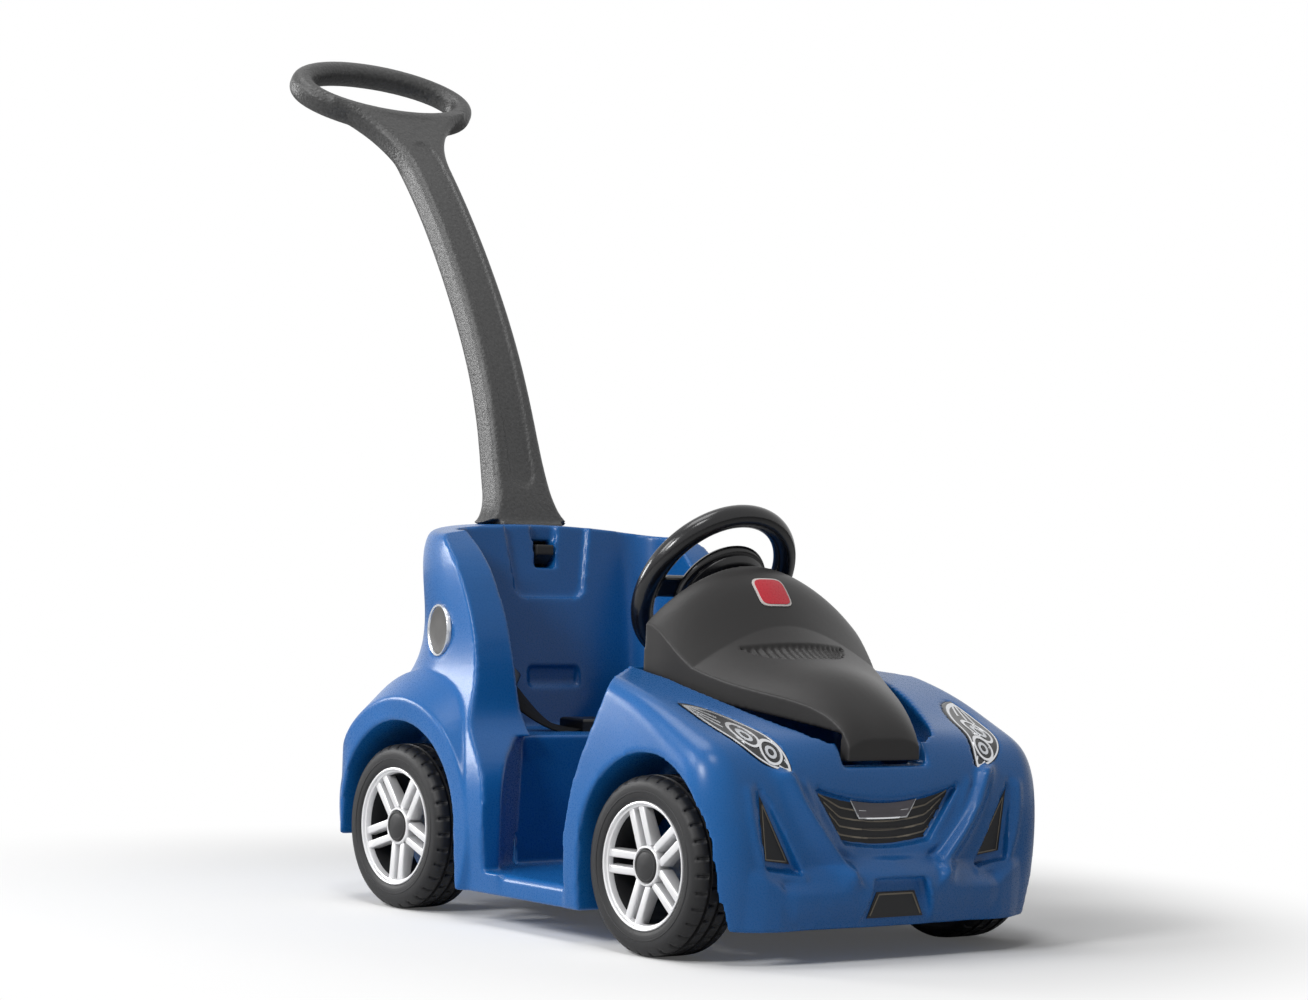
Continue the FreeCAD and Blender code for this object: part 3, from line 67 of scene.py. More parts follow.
def in_mm(place):
    """A point of the frame in millimetres from the middle of the wheelbase."""
    return place.x * 1000, (place.y - SHIFT) * 1000, place.z * 1000


# %% [markdown]
# The photograph was taken in a white studio with a long lens, from just below the top of the seat
# tower. The camera stands where the wheels, the grip and the nose line up with it. Its turn is a
# matrix whose columns are the picture's right, its up, and the way back to the eye.

# %% Camera
SENSOR_WIDTH = 36.0
LENS = 88.4
CAMERA_PLACE = (-2.3168, -2.8699 + SHIFT, 0.4316)
CAMERA_TURN = Matrix(((0.784726, -0.034727, -0.618869),
                      (-0.618938, 0.010017, -0.785376),
                      (0.033473, 0.999347, -0.013633)))
camera_data = bpy.data.cameras.new("photo_lens")
camera_data.sensor_width = SENSOR_WIDTH
camera_data.lens = LENS
camera = bpy.data.objects.new("photo_camera", camera_data)
bpy.context.scene.collection.objects.link(camera)
camera.matrix_world = Matrix.Translation(CAMERA_PLACE) @ CAMERA_TURN.to_4x4()
bpy.context.scene.camera = camera
print("camera at", [round(v, 3) for v in camera.location])

# %% [markdown]
# The light is plain studio light: a soft window high on the left of the picture, a sheet of light
# overhead, a window behind on the left for the bright edges that face it, and a weak fill from the
# front. One more window on the left grazes the nose and draws its relief. Every lamp is a square
# that looks at the middle of the car.

# %% Lamps
LAMP_TARGET = Vector((0, SHIFT, 0.3))
STUDIO_LAMPS = (  # name, place, size in metres, power in watts
    ("key_window", (-2.6, 0.5, 2.2), 0.9, 26),
    ("top_sheet", (-0.5, 0.3, 3.2), 1.4, 30),
    ("edge_window", (-2.0, 2.6, 1.2), 0.9, 52),
    ("graze_window", (-3.0, -0.95, 1.9), 0.7, 56),
    ("fill_window", (-1.3, -1.7, 3.3), 0.7, 22),
)
for name, place, size, power in STUDIO_LAMPS:
    data = bpy.data.lights.new(name, "AREA")
    data.shape = "SQUARE"
    data.size = size
    data.energy = power
    lamp = bpy.data.objects.new(name, data)
    bpy.context.scene.collection.objects.link(lamp)
    lamp.location = place
    lamp.rotation_euler = (LAMP_TARGET - lamp.location).to_track_quat("-Z", "Y").to_euler()

# %% [markdown]
# The room is white for the camera, for reflections and through clear parts, and much dimmer as a
# light on the car, so that the lamps shape it.

# %% White room
WHITE = (1, 1, 1, 1)
ROOM_LIGHT = 0.08
ROOM_SEEN = 1.0


def add_node(net, kind, values=None):
    """A new shader node with constants on its inputs."""
    made = net.nodes.new(kind)
    for socket, value in (values or {}).items():
        made.inputs[socket].default_value = value
    return made


world = bpy.data.worlds.new("white_room")
world.use_nodes = True
bpy.context.scene.world = world
net = world.node_tree
net.nodes.clear()
rays = add_node(net, "ShaderNodeLightPath")
seen = add_node(net, "ShaderNodeMath")
seen.operation = "MAXIMUM"
through = add_node(net, "ShaderNodeMath")
through.operation = "MAXIMUM"
net.links.new(rays.outputs["Is Camera Ray"], seen.inputs[0])
net.links.new(rays.outputs["Is Glossy Ray"], seen.inputs[1])
net.links.new(seen.outputs[0], through.inputs[0])
net.links.new(rays.outputs["Is Transmission Ray"], through.inputs[1])
dim = add_node(net, "ShaderNodeBackground", {"Color": WHITE, "Strength": ROOM_LIGHT})
white = add_node(net, "ShaderNodeBackground", {"Color": WHITE, "Strength": ROOM_SEEN})
mixed = add_node(net, "ShaderNodeMixShader")
net.links.new(through.outputs[0], mixed.inputs[0])
net.links.new(dim.outputs[0], mixed.inputs[1])
net.links.new(white.outputs[0], mixed.inputs[2])
out = add_node(net, "ShaderNodeOutputWorld")
net.links.new(mixed.outputs[0], out.inputs["Surface"])
bpy.context.scene.view_settings.view_transform = "Standard"
print("room ready")

# %% [markdown]
# The floor is one large pale sheet. Near the car it is a diffuse white that keeps the shadow;
# further out it is lifted for the camera, so that it runs into the white room with no line.

# %% Floor
FLOOR_SIZE = 30
FLOOR_WHITE = (0.82, 0.82, 0.82, 1)
FLOOR_FADE = {"From Min": 0.5, "From Max": 1.05, "To Min": 0.06, "To Max": 1.0}
bpy.ops.mesh.primitive_plane_add(size=FLOOR_SIZE, location=(0, 0, 0))
floor = bpy.context.object
floor.name = "studio_floor"
paper = bpy.data.materials.new("studio_paper")
paper.use_nodes = True
net = paper.node_tree
net.nodes.clear()
rays = add_node(net, "ShaderNodeLightPath")
matt = add_node(net, "ShaderNodeBsdfDiffuse", {"Color": FLOOR_WHITE})
glow = add_node(net, "ShaderNodeEmission", {"Color": WHITE, "Strength": ROOM_SEEN})
where = add_node(net, "ShaderNodeTexCoord")
away = add_node(net, "ShaderNodeVectorMath")
away.operation = "LENGTH"
net.links.new(where.outputs["Object"], away.inputs[0])
fade = add_node(net, "ShaderNodeMapRange", FLOOR_FADE)
fade.interpolation_type = "SMOOTHSTEP"
net.links.new(away.outputs["Value"], fade.inputs["Value"])
share = add_node(net, "ShaderNodeMath")
share.operation = "MULTIPLY"
net.links.new(rays.outputs["Is Camera Ray"], share.inputs[0])
net.links.new(fade.outputs["Result"], share.inputs[1])
mixed = add_node(net, "ShaderNodeMixShader")
net.links.new(share.outputs[0], mixed.inputs[0])
net.links.new(matt.outputs[0], mixed.inputs[1])
net.links.new(glow.outputs[0], mixed.inputs[2])
out = add_node(net, "ShaderNodeOutputMaterial")
net.links.new(mixed.outputs[0], out.inputs["Surface"])
floor.data.materials.append(paper)
print("floor ready")

# %% [markdown]
# Moulded plastic is never one flat colour. Each finish below starts from the same recipe: a
# Principled shader whose colour drifts a little over a few centimetres, with a fine grain that
# moves the roughness and lifts a bump. The drift and the grain read Object coordinates, so they
# stay on the piece when it moves. The handle's drift is much finer than the others', which gives
# it the speckle of a coarse texture.

# %% Plastic recipe
DRIFT_ENDS = (0.3, 0.7)
PLASTIC_SPREAD = 0.06
GRAIN_STRENGTH = 0.6


def plastic(name, colour, rough, drift, grain_size, grain_depth, shine, clouds=9):
    """Moulded plastic. Grain size and depth are in metres, and clouds is the drift's scale."""
    made = bpy.data.materials.new(name)
    made.use_nodes = True
    net = made.node_tree
    shader = net.nodes["Principled BSDF"]
    shader.inputs["Specular IOR Level"].default_value = shine
    place = add_node(net, "ShaderNodeTexCoord")
    cloud = add_node(net, "ShaderNodeTexNoise", {"Scale": clouds, "Detail": 2})
    net.links.new(place.outputs["Object"], cloud.inputs["Vector"])
    tint = add_node(net, "ShaderNodeValToRGB")
    tint.color_ramp.elements[0].position = DRIFT_ENDS[0]
    tint.color_ramp.elements[0].color = tuple(c * (1 - drift) for c in colour) + (1,)
    tint.color_ramp.elements[1].position = DRIFT_ENDS[1]
    tint.color_ramp.elements[1].color = tuple(c * (1 + drift) for c in colour) + (1,)
    net.links.new(cloud.outputs["Fac"], tint.inputs["Fac"])
    net.links.new(tint.outputs["Color"], shader.inputs["Base Color"])
    grain = add_node(net, "ShaderNodeTexNoise", {"Scale": 1 / grain_size, "Detail": 3})
    net.links.new(place.outputs["Object"], grain.inputs["Vector"])
    polish = add_node(net, "ShaderNodeMapRange",
                      {"To Min": rough - PLASTIC_SPREAD, "To Max": rough + PLASTIC_SPREAD})
    net.links.new(grain.outputs["Fac"], polish.inputs["Value"])
    net.links.new(polish.outputs["Result"], shader.inputs["Roughness"])
    bump = add_node(net, "ShaderNodeBump", {"Strength": GRAIN_STRENGTH, "Distance": grain_depth})
    net.links.new(grain.outputs["Fac"], bump.inputs["Height"])
    net.links.new(bump.outputs["Normal"], shader.inputs["Normal"])
    return made


# Name, colour, roughness, drift, grain size, grain depth, shine
body_blue = plastic("body_blue", (0.007, 0.096, 0.305), 0.28, 0.06, 0.0015, 0.00004, 0.30)
handle_charcoal = plastic("handle_charcoal", (0.022, 0.022, 0.022), 0.45, 0.5, 0.0036, 0.0018, 0.6,
                          clouds=240)
bonnet_charcoal = plastic("bonnet_charcoal", (0.022, 0.021, 0.021), 0.40, 0.06, 0.0015, 0.0001,
                          0.25)
steering_black = plastic("steering_black", (0.006, 0.006, 0.007), 0.20, 0.05, 0.003, 0.00005, 0.45)
tyre_black = plastic("tyre_black", (0.011, 0.011, 0.012), 0.5, 0.1, 0.002, 0.0002, 0.3)
cap_grey = plastic("cap_grey", (0.022, 0.022, 0.023), 0.42, 0.06, 0.002, 0.0001, 0.25)
buckle_black = plastic("buckle_black", (0.005, 0.005, 0.006), 0.3, 0.05, 0.002, 0.0001, 0.4)
grille_dark = plastic("grille_dark", (0.012, 0.012, 0.013), 0.4, 0.08, 0.002, 0.0001, 0.3)
bush_white = plastic("bush_white", (0.6, 0.6, 0.56), 0.5, 0.04, 0.003, 0.0001, 0.5)
# Painted shade: a dark finish for the inside of the rim's barrel, in place of the shade behind the
# spokes.
rim_painted_shade = plastic("rim_painted_shade", (0.012, 0.012, 0.013), 0.6, 0.1, 0.003, 0.0001, 0.2)
print("plastics:", [m.name for m in bpy.data.materials])

# %% [markdown]
# Silver parts are paint or plated metal: a metallic shader with a light roughness. The rims are
# painted, so they stay paler and softer than the zinc axles.

# %% Silver recipe
SILVER_SPREAD = 0.05
SILVER_CLOUDS = 60


def silver(name, colour, rough, metal):
    """Painted or plated silver with a faint cloud in its polish."""
    made = bpy.data.materials.new(name)
    made.use_nodes = True
    net = made.node_tree
    shader = net.nodes["Principled BSDF"]
    shader.inputs["Base Color"].default_value = colour + (1,)
    shader.inputs["Metallic"].default_value = metal
    place = add_node(net, "ShaderNodeTexCoord")
    cloud = add_node(net, "ShaderNodeTexNoise", {"Scale": SILVER_CLOUDS})
    net.links.new(place.outputs["Object"], cloud.inputs["Vector"])
    polish = add_node(net, "ShaderNodeMapRange",
                      {"To Min": rough - SILVER_SPREAD, "To Max": rough + SILVER_SPREAD})
    net.links.new(cloud.outputs["Fac"], polish.inputs["Value"])
    net.links.new(polish.outputs["Result"], shader.inputs["Roughness"])
    return made


# Name, colour, roughness, metal
rim_silver = silver("rim_silver", (0.70, 0.70, 0.71), 0.32, 0.45)
zinc_steel = silver("zinc_steel", (0.55, 0.56, 0.58), 0.3, 1.0)
lamp_silver = silver("lamp_silver", (0.55, 0.57, 0.60), 0.2, 0.7)
fuel_cap_grey = silver("fuel_cap_grey", (0.055, 0.053, 0.05), 0.45, 0.0)
print("silvers ready")

# %% [markdown]
# The part's record gives every solid a material slot and a body. Each solid takes the finish of
# its slot, and a piece made further down asks for the body of the solid it joins.

# %% Finish on every solid
finishes = {
    "body_blue": body_blue, "trim_charcoal": bonnet_charcoal, "handle_charcoal": handle_charcoal,
    "wheel_black": steering_black, "tyre_black": tyre_black, "rim_silver": rim_silver,
    "cap_grey": cap_grey, "zinc_steel": zinc_steel, "webbing": buckle_black,
    "buckle_black": buckle_black, "lamp_silver": lamp_silver, "grille_dark": grille_dark,
    "fuel_cap_grey": fuel_cap_grey, "bush_white": bush_white, "dome_rubber": buckle_black,
}
bodies = frame["record"]["behaviour"]["bodies"]
slot_of = {row["node"]: row["material_slot"] for row in frame["record"]["subparts"]}
body_of = {n: body for body, members in bodies.items() for n in members}
for name, node in nodes.items():
    node.data.materials.clear()
    node.data.materials.append(finishes[slot_of[name]])
print("finished", len(nodes), "solids")

# %% [markdown]
# A few small helpers serve all the modelling below: one copies a mesh into the scene, one goes
# into edit mode with some faces selected, one adds a bevel, and one applies a piece's modifiers.

# %% Modelling helpers
SMOOTH_TURNED = math.radians(38)
SMOOTH_THIN = math.radians(40)


def copied(mesh, name):
    """A new object in the scene with its own copy of a mesh."""
    piece = bpy.data.objects.new(name, mesh.copy())
    bpy.context.scene.collection.objects.link(piece)
    return piece


def choose(piece):
    """Makes one piece the only selected and the active object."""
    bpy.ops.object.select_all(action="DESELECT")
    piece.select_set(True)
    bpy.context.view_layer.objects.active = piece


def edit(piece, selection=None):
    """Enters edit mode on one piece with the given faces, or everything, selected."""
    choose(piece)
    bpy.ops.object.mode_set(mode="EDIT")
    bpy.ops.mesh.select_mode(type="FACE")
    bpy.ops.mesh.select_all(action="SELECT" if selection is None else "DESELECT")
    if selection is not None:
        leave_edit()
        for index in selection:
            piece.data.polygons[index].select = True
        bpy.ops.object.mode_set(mode="EDIT")


def leave_edit():
    """Goes back to object mode."""
    bpy.ops.object.mode_set(mode="OBJECT")


def bevel(piece, width, segments):
    """Adds a bevel that finish_modifiers then applies."""
    edge = piece.modifiers.new("edge", "BEVEL")
    edge.width = width
    edge.segments = segments


def finish_modifiers(piece):
    """Applies all modifiers of a piece in order."""
    choose(piece)
    for name in [m.name for m in piece.modifiers]:
        bpy.ops.object.modifier_apply(modifier=name)


print("helpers ready")

# %% [markdown]
# The big mouldings come out of soft moulds, so no edge on them is sharp. A softened copy is made
# from the solid: its loose triangles are welded, a voxel remesh gives an even skin, the skin is
# pressed into its last relief, a smooth modifier rounds the edges, and a decimate modifier thins
# the flat parts.

# %% Softening helper
WELD = 0.00002
ROUNDING = 0.5


def softened(node, voxel, rounds, ratio, relief=None, cutter=None):
    """A copy of a solid with the soft edges of a moulding, which then stands for the solid."""
    piece = copied(nodes[node].data, "soft_" + node)
    edit(piece)
    bpy.ops.mesh.remove_doubles(threshold=WELD)
    leave_edit()
    if cutter is not None:
        carve = piece.modifiers.new("carve", "BOOLEAN")
        carve.operation = "DIFFERENCE"
        carve.object = cutter
    skin = piece.modifiers.new("skin", "REMESH")
    skin.mode = "VOXEL"
    skin.voxel_size = voxel
    finish_modifiers(piece)
    if relief is not None:
        for vertex in piece.data.vertices:
            vertex.co += relief(vertex.co)
    rounding = piece.modifiers.new("rounding", "SMOOTH")
    rounding.factor = ROUNDING
    rounding.iterations = rounds
    thin = piece.modifiers.new("thin", "DECIMATE")
    thin.ratio = ratio
    finish_modifiers(piece)
    bpy.ops.object.shade_smooth()
    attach(piece, body_of[node])
    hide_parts(node)
    print(piece.name, len(piece.data.polygons), "faces")
    return piece


def bell(distance, reach):
    """One at no distance, falling smoothly to almost nothing at twice the reach."""
    return math.exp(-(distance / reach) ** 2)


def between(x, rows):
    """Value at x on a bent line of (x, value) rows."""
    for (x0, v0), (x1, v1) in zip(rows, rows[1:]):
        if x <= x1:
            return v0 + (v1 - v0) * (x - x0) / (x1 - x0)
    return rows[-1][1]


# %% [markdown]
# Round the bonnet the deck falls away into a dark gap, wider along the flanks than the ledge that
# carries the lid. A cutter with the outline of that gap is taken off the body: a circle set to
# half widths down the bonnet, filled, and pulled up through the deck. Its floor slopes with the
# lid, down towards the nose.

# %% Cutter for the gap round the bonnet
GAP_ROWS = (  # place along the car, half width
    (-140, 149), (-160, 151), (-182, 149), (-207, 143), (-230, 135),
    (-255, 124), (-280, 112), (-300, 101), (-318, 88), (-328, 70))
GAP_BACK = -110
GAP_HEIGHT = 254
GAP_FALL = 48
GAP_LENGTH = 231
GAP_PULL = 0.15
gap_outline = [(half, y) for y, half in GAP_ROWS] + [(-half, y) for y, half in reversed(GAP_ROWS)]
bpy.ops.mesh.primitive_circle_add(vertices=len(gap_outline), fill_type="NGON")
gap_cutter = bpy.context.object
gap_cutter.name = "gap_cutter"
for vertex, (x, y) in zip(gap_cutter.data.vertices, gap_outline):
    vertex.co = mm(x, y, GAP_HEIGHT + (y - GAP_BACK) * GAP_FALL / GAP_LENGTH)
edit(gap_cutter)
bpy.ops.mesh.extrude_region_move(TRANSFORM_OT_translate={"value": (0, 0, GAP_PULL)})
bpy.ops.mesh.select_all(action="SELECT")
bpy.ops.mesh.normals_make_consistent(inside=False)
leave_edit()
print("gap cutter:", len(gap_cutter.data.polygons), "faces")

# %% [markdown]
# The nose has soft relief that light from the left picks out. A sharp rib runs on each side from
# the headlight down to the bumper, steep on the inside and slow on the outside. Low rims frame the
# grille and the side vents, and the bumper stands out under a shelf. All of it is pressed into the
# skin by moving its points along the car: most on a line, and less beside it.

# %% Relief of the nose
RIB = ((141, 200), (128, 176), (114, 154), (101, 137), (88, 122), (74, 107), (66, 97))
VENT_RIM = ((193, 181), (191, 157), (185, 130), (176, 105), (155, 90), (124, 91))
GRILLE_RIM = ((118, 186), (101, 148), (80, 124), (48, 110), (0, 106))
BUMPER_OUT = ((0, 0), (60, 0), (109, 4), (138, 9), (157, 10), (175, 7), (195, 0), (400, 0))
BUMPER_TOP = ((0, 93), (48, 93), (72, 80), (150, 80), (178, 96), (400, 96))
NOSE_START = 315
NOSE_BLEND = 15
NOSE_TOP = 215
RIB_HEIGHT = 12
RIB_SLOW = 13
RIB_STEEP = 5
RIM_HEIGHT = 3
RIM_REACH = 5
SHELF_LIFT = 6
SHELF_RUN = 9


def line_distance(x, z, points):
    """Distance in millimetres from a place on the nose to a bent line, and if it lies outside."""
    best, outer = math.inf, True
    for (ax, az), (bx, bz) in zip(points, points[1:]):
        dx, dz = bx - ax, bz - az
        share = min(max(((x - ax) * dx + (z - az) * dz) / (dx * dx + dz * dz), 0), 1)
        distance = math.hypot(x - ax - dx * share, z - az - dz * share)
        if distance < best:
            best, outer = distance, dx * (z - az) - dz * (x - ax) > 0
    return best, outer


def rim_relief(x, z, points):
    """Height of a low rim along a bent line."""
    return RIM_HEIGHT * bell(line_distance(x, z, points)[0], RIM_REACH)


def nose_relief(place):
    """How far a point of the body's skin moves forwards."""
    x, y, z = in_mm(place)
    x = abs(x)
    if y > -NOSE_START or z > NOSE_TOP:
        return STILL
    away, outer = line_distance(x, z, RIB)
    rib = RIB_HEIGHT * bell(away, RIB_SLOW if outer else RIB_STEEP)
    rims = rim_relief(x, z, VENT_RIM) + rim_relief(x, z, GRILLE_RIM)
    below = min(max((between(x, BUMPER_TOP) + SHELF_LIFT - z) / SHELF_RUN, 0), 1)
    out = max(rib, rims) + between(x, BUMPER_OUT) * below
    return Vector((0, -out * min((-y - NOSE_START) / NOSE_BLEND, 1) / 1000, 0))


softened("body_shell", voxel=0.0027, rounds=4, ratio=0.3, relief=nose_relief, cutter=gap_cutter)
bpy.data.objects.remove(gap_cutter)

# %% [markdown]
# The bonnet has a shallow valley across it below the plate, where the steep dome turns into the
# flatter lid. Its points sink a little along that line.

# %% Bonnet
VALLEY_PLACE = -176
VALLEY_REACH = 16
VALLEY_SINK = Vector((0, 0.0018, -0.0024))


def bonnet_relief(place):
    """How far a point of the bonnet's skin sinks into the valley."""
    y = in_mm(place)[1]
    return VALLEY_SINK * math.exp(-abs(y - VALLEY_PLACE) / VALLEY_REACH)


soft_hood = softened("hood_panel", voxel=0.0016, rounds=3, ratio=0.4, relief=bonnet_relief)

# %% [markdown]
# The foot of the handle is drawn down to just above the tower's crown. Softening rounds the
# corners of hollows too, so the pocket of the snap tab in the handle's tang is first opened by as
# much as that takes away.

# %% Handle
TANG_TOP = 449
TAB_HEIGHT = 414
TAB_REACH = 16
TAB_SIDE = 11
TAB_END = 10
TAB_MOUTH = 307
TAB_BACK = 333
TAB_FURTHEST = 338.5
TAB_OPEN = 0.0026
TAB_DEEPEN = 0.0015
FOOT_TOP = 476
FOOT_RUN = 20
FOOT_DROP = 4.6
FOOT_CROWN = 0.0007


def handle_relief(place):
    """How far a point of the handle's skin moves: out of the tab's pocket, or down at the foot."""
    x, y, z = in_mm(place)
    if z < TANG_TOP:
        level = z - TAB_HEIGHT
        if abs(x) > TAB_REACH or abs(level) > TAB_REACH or not TAB_MOUTH < y < TAB_FURTHEST:
            return STILL
        wide = math.copysign(TAB_OPEN, x) if abs(x) > TAB_SIDE else 0
        deep = TAB_DEEPEN if y > TAB_BACK else 0
        tall = math.copysign(TAB_OPEN, level) if abs(level) > TAB_END else 0
        return Vector((wide, deep, tall))
    reach = min(max((FOOT_TOP - z) / FOOT_RUN, 0), 1)
    return Vector((0, 0, -(FOOT_DROP - FOOT_CROWN * x * x) * reach / 1000))


softened("push_handle", voxel=0.0023, rounds=4, ratio=0.5, relief=handle_relief)

# %% [markdown]
# The steering wheel is softened in the same way, and the pocket of the horn in its hub is opened
# like the tab's pocket. Places in the hub are measured along the column, from its upper end. The
# snap tab gets soft edges too, so that it goes into its pocket without touching the corners.

# %% Steering wheel and snap tab
COLUMN_TILT = math.radians(33.8)
COLUMN_FOOT = mm(0, -45, 388)
column_axis = Vector((0, -math.cos(COLUMN_TILT), -math.sin(COLUMN_TILT)))
HORN_RADIUS = 0.024
HORN_POCKET = 0.014
HORN_MARGIN = 0.003
HORN_MOUTH = -0.002
HORN_OPEN = 0.0024


def steering_relief(place):
    """How far a point of the steering wheel's skin moves out of the horn's pocket."""
    depth = (place - COLUMN_FOOT).dot(column_axis)
    out = place - COLUMN_FOOT - column_axis * depth
    if out.length > HORN_RADIUS + HORN_MARGIN or not HORN_MOUTH < depth < HORN_POCKET + HORN_MARGIN:
        return STILL
    wide = out.normalized() * HORN_OPEN if out.length > HORN_RADIUS - HORN_MARGIN else STILL
    return wide + (column_axis * HORN_OPEN if depth > HORN_POCKET - HORN_MARGIN else STILL)


softened("steering_wheel", voxel=0.0016, rounds=4, ratio=0.5, relief=steering_relief)
softened("handle_latch", voxel=0.0012, rounds=5, ratio=0.6)

# %% [markdown]
# Under the horn button sits a rubber dome. Its copy, with a mesh of its own, stands in for the
# solid.

# %% Dome under the horn
dome = copied(nodes["horn_spring"].data, "horn_dome")
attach(dome, body_of["horn_spring"])
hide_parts("horn_spring")
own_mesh(dome)
print("dome set under the horn")

# %% [markdown]
# Wheels are lathe work. A circle's points are set to half the section of a ring, and Spin turns
# that closed outline round the X axis. Round pieces elsewhere on the car come off the same lathe,
# and are then stood on an axis of their own.

# %% Lathe helper
LATHE_WELD = 0.00001


def turned(name, profile, steps, finish):
    """A closed ring turned round the X axis from (place along it, radius) rows in millimetres."""
    bpy.ops.mesh.primitive_circle_add(vertices=len(profile), fill_type="NOTHING")
    piece = bpy.context.object
    piece.name = name
    for vertex, (along, radius) in zip(piece.data.vertices, profile):
        vertex.co = (along / 1000, 0, radius / 1000)
    edit(piece)
    bpy.ops.mesh.spin(steps=steps, angle=2 * math.pi, center=(0, 0, 0), axis=(1, 0, 0))
    bpy.ops.mesh.select_all(action="SELECT")
    bpy.ops.mesh.remove_doubles(threshold=LATHE_WELD)
    bpy.ops.mesh.normals_make_consistent(inside=False)
    leave_edit()
    bpy.ops.object.shade_smooth_by_angle(angle=SMOOTH_TURNED)
    piece.data.materials.append(finish)
    return piece


def stood(place, axis):
    """The matrix that stands a turned piece on a place, along an axis."""
    turn = Vector((1, 0, 0)).rotation_difference(axis)
    return Matrix.Translation(place) @ turn.to_matrix().to_4x4()


# %% [markdown]
# The tread is cut like a real mould: every few steps round the tyre, the faces of the ribs and the
# shoulders are pushed in, which leaves cross grooves between the blocks. The two ribs are cut out
# of step with each other. One tyre is modelled at the origin and copied to the four corners.

# %% Tyre with cut tread
TREAD_STEPS = 192
BLOCK_STEPS = 6
RIB_BAND = (0.002, 0.013)
RIB_LAG = {True: 2, False: 5}
SHOULDER_BAND = (0.0175, 0.030)
TREAD_RADIUS = 0.0925
SHOULDER_START = 0.027
SHOULDER_DROP = 0.003
TREAD_DEPTH = 0.0016
tyre_profile = [
    (30, 68), (31.4, 70), (32.2, 73), (32.4, 76.6), (33, 77.2), (33, 78.2), (32.5, 78.8),
    (32.6, 83), (31.8, 87), (30, 90.4), (27, 93), (23.5, 94.3), (17.5, 94.8), (17, 92), (13.5, 92),
    (13, 95), (2.2, 95), (1.8, 92), (-1.8, 92), (-2.2, 95), (-13, 95), (-13.5, 92), (-17, 92),
    (-17.5, 94.8), (-23.5, 94.3), (-27, 93), (-30, 90.4), (-31.8, 87), (-32.6, 83), (-32.4, 76),
    (-31.4, 70), (-30, 68)]
tyre = turned("tyre_pattern", tyre_profile, TREAD_STEPS, tyre_black)
cuts = []
for face in tyre.data.polygons:
    place = face.center
    aside = abs(place.x)
    step = int((math.atan2(place.y, place.z) / (2 * math.pi) + 0.5) * TREAD_STEPS)
    on_shoulder = SHOULDER_BAND[0] < aside < SHOULDER_BAND[1] and step % BLOCK_STEPS == 0
    on_rib = RIB_BAND[0] < aside < RIB_BAND[1] and (step + RIB_LAG[place.x > 0]) % BLOCK_STEPS == 0
    lowest = TREAD_RADIUS - (SHOULDER_DROP if aside > SHOULDER_START else 0)
    if place.yz.length > lowest and (on_shoulder or on_rib):
        cuts.append(face.index)
edit(tyre, cuts)
bpy.ops.mesh.extrude_region_shrink_fatten(TRANSFORM_OT_shrink_fatten={"value": -TREAD_DEPTH})
leave_edit()
print("tyre:", len(tyre.data.polygons), "faces,", len(cuts), "cut")

# %% [markdown]
# The rim is a barrel with a rolled lip, a hub and five pairs of slim spokes. The barrel and the
# hub come off the lathe, and the barrel's inside is painted dark: painted shade for the shade that
# falls behind the spokes. One spoke is a cube stretched from hub to lip, narrowed, dished and
# bevelled; it is copied round the axle, and all of it is joined.

# %% Barrel and hub
BARREL_STEPS = 96
HUB_STEPS = 64
# Inner faces of the barrel inside this radius and behind this face take the painted shade.
PAINTED_SHADE_RADIUS = 0.0625
PAINTED_SHADE_FACE = 0.024
barrel_profile = [
    (-30, 68), (29.5, 68), (31.3, 67.4), (31.6, 66.2), (31, 65), (28.6, 64.2), (27.8, 62.6),
    (22, 61), (-12, 60.5), (-30, 62)]
hub_profile = [
    (-37, 9), (-37, 20), (14, 20.5), (22, 21.6), (25.4, 21.4), (26.6, 20.6), (26.8, 19.2),
    (25.6, 18.2), (16, 18), (16, 9)]
barrel = turned("rim_barrel", barrel_profile, BARREL_STEPS, rim_silver)
# Painted shade: the barrel's inner faces get the dark finish as a second material.
barrel.data.materials.append(rim_painted_shade)
for face in barrel.data.polygons:
    if face.center.yz.length < PAINTED_SHADE_RADIUS and face.center.x < PAINTED_SHADE_FACE:
        face.material_index = 1
hub = turned("rim_hub", hub_profile, HUB_STEPS, rim_silver)
print("barrel:", len(barrel.data.polygons), "faces, hub:", len(hub.data.polygons), "faces")

# %% Spokes
SPOKE_PAIRS = 5
SPOKE_WIDTH = 0.0086
SPOKE_OFFSET = 0.0085
SPOKE_EDGE = 0.0016
SPOKE_ENDS = (0.019, 0.0635)  # radius at the hub and at the lip
SPOKE_FACE = (0.0245, 0.0272)  # front face at the hub and at the lip
SPOKE_REAR = (0.008, 0.015)  # rear face at the hub and at the lip
SPOKE_DRAFT = (1.15, 0.92)  # share of the width at the rear and at the front
SPOKE_SPREAD = (1.0, 1.12)  # share of the width at the hub and at the lip
bpy.ops.mesh.primitive_cube_add(size=1)
spoke = bpy.context.object
spoke.name = "rim_spoke"
for vertex in spoke.data.vertices:
    outer = vertex.co.z > 0
    front = vertex.co.x > 0
    vertex.co = (SPOKE_FACE[outer] if front else SPOKE_REAR[outer],
                 vertex.co.y * SPOKE_WIDTH * SPOKE_DRAFT[front] * SPOKE_SPREAD[outer],
                 SPOKE_ENDS[outer])
bevel(spoke, SPOKE_EDGE, segments=3)
finish_modifiers(spoke)
spoke.data.materials.append(rim_silver)
bars = []
for pair in range(SPOKE_PAIRS):
    for side in (-1, 1):
        bar = copied(spoke.data, "bar")
        bar.data.transform(Matrix.Rotation(2 * math.pi * pair / SPOKE_PAIRS, 4, "X")
                           @ Matrix.Translation((0, side * SPOKE_OFFSET, 0)))
        bars.append(bar)
bpy.data.objects.remove(spoke)
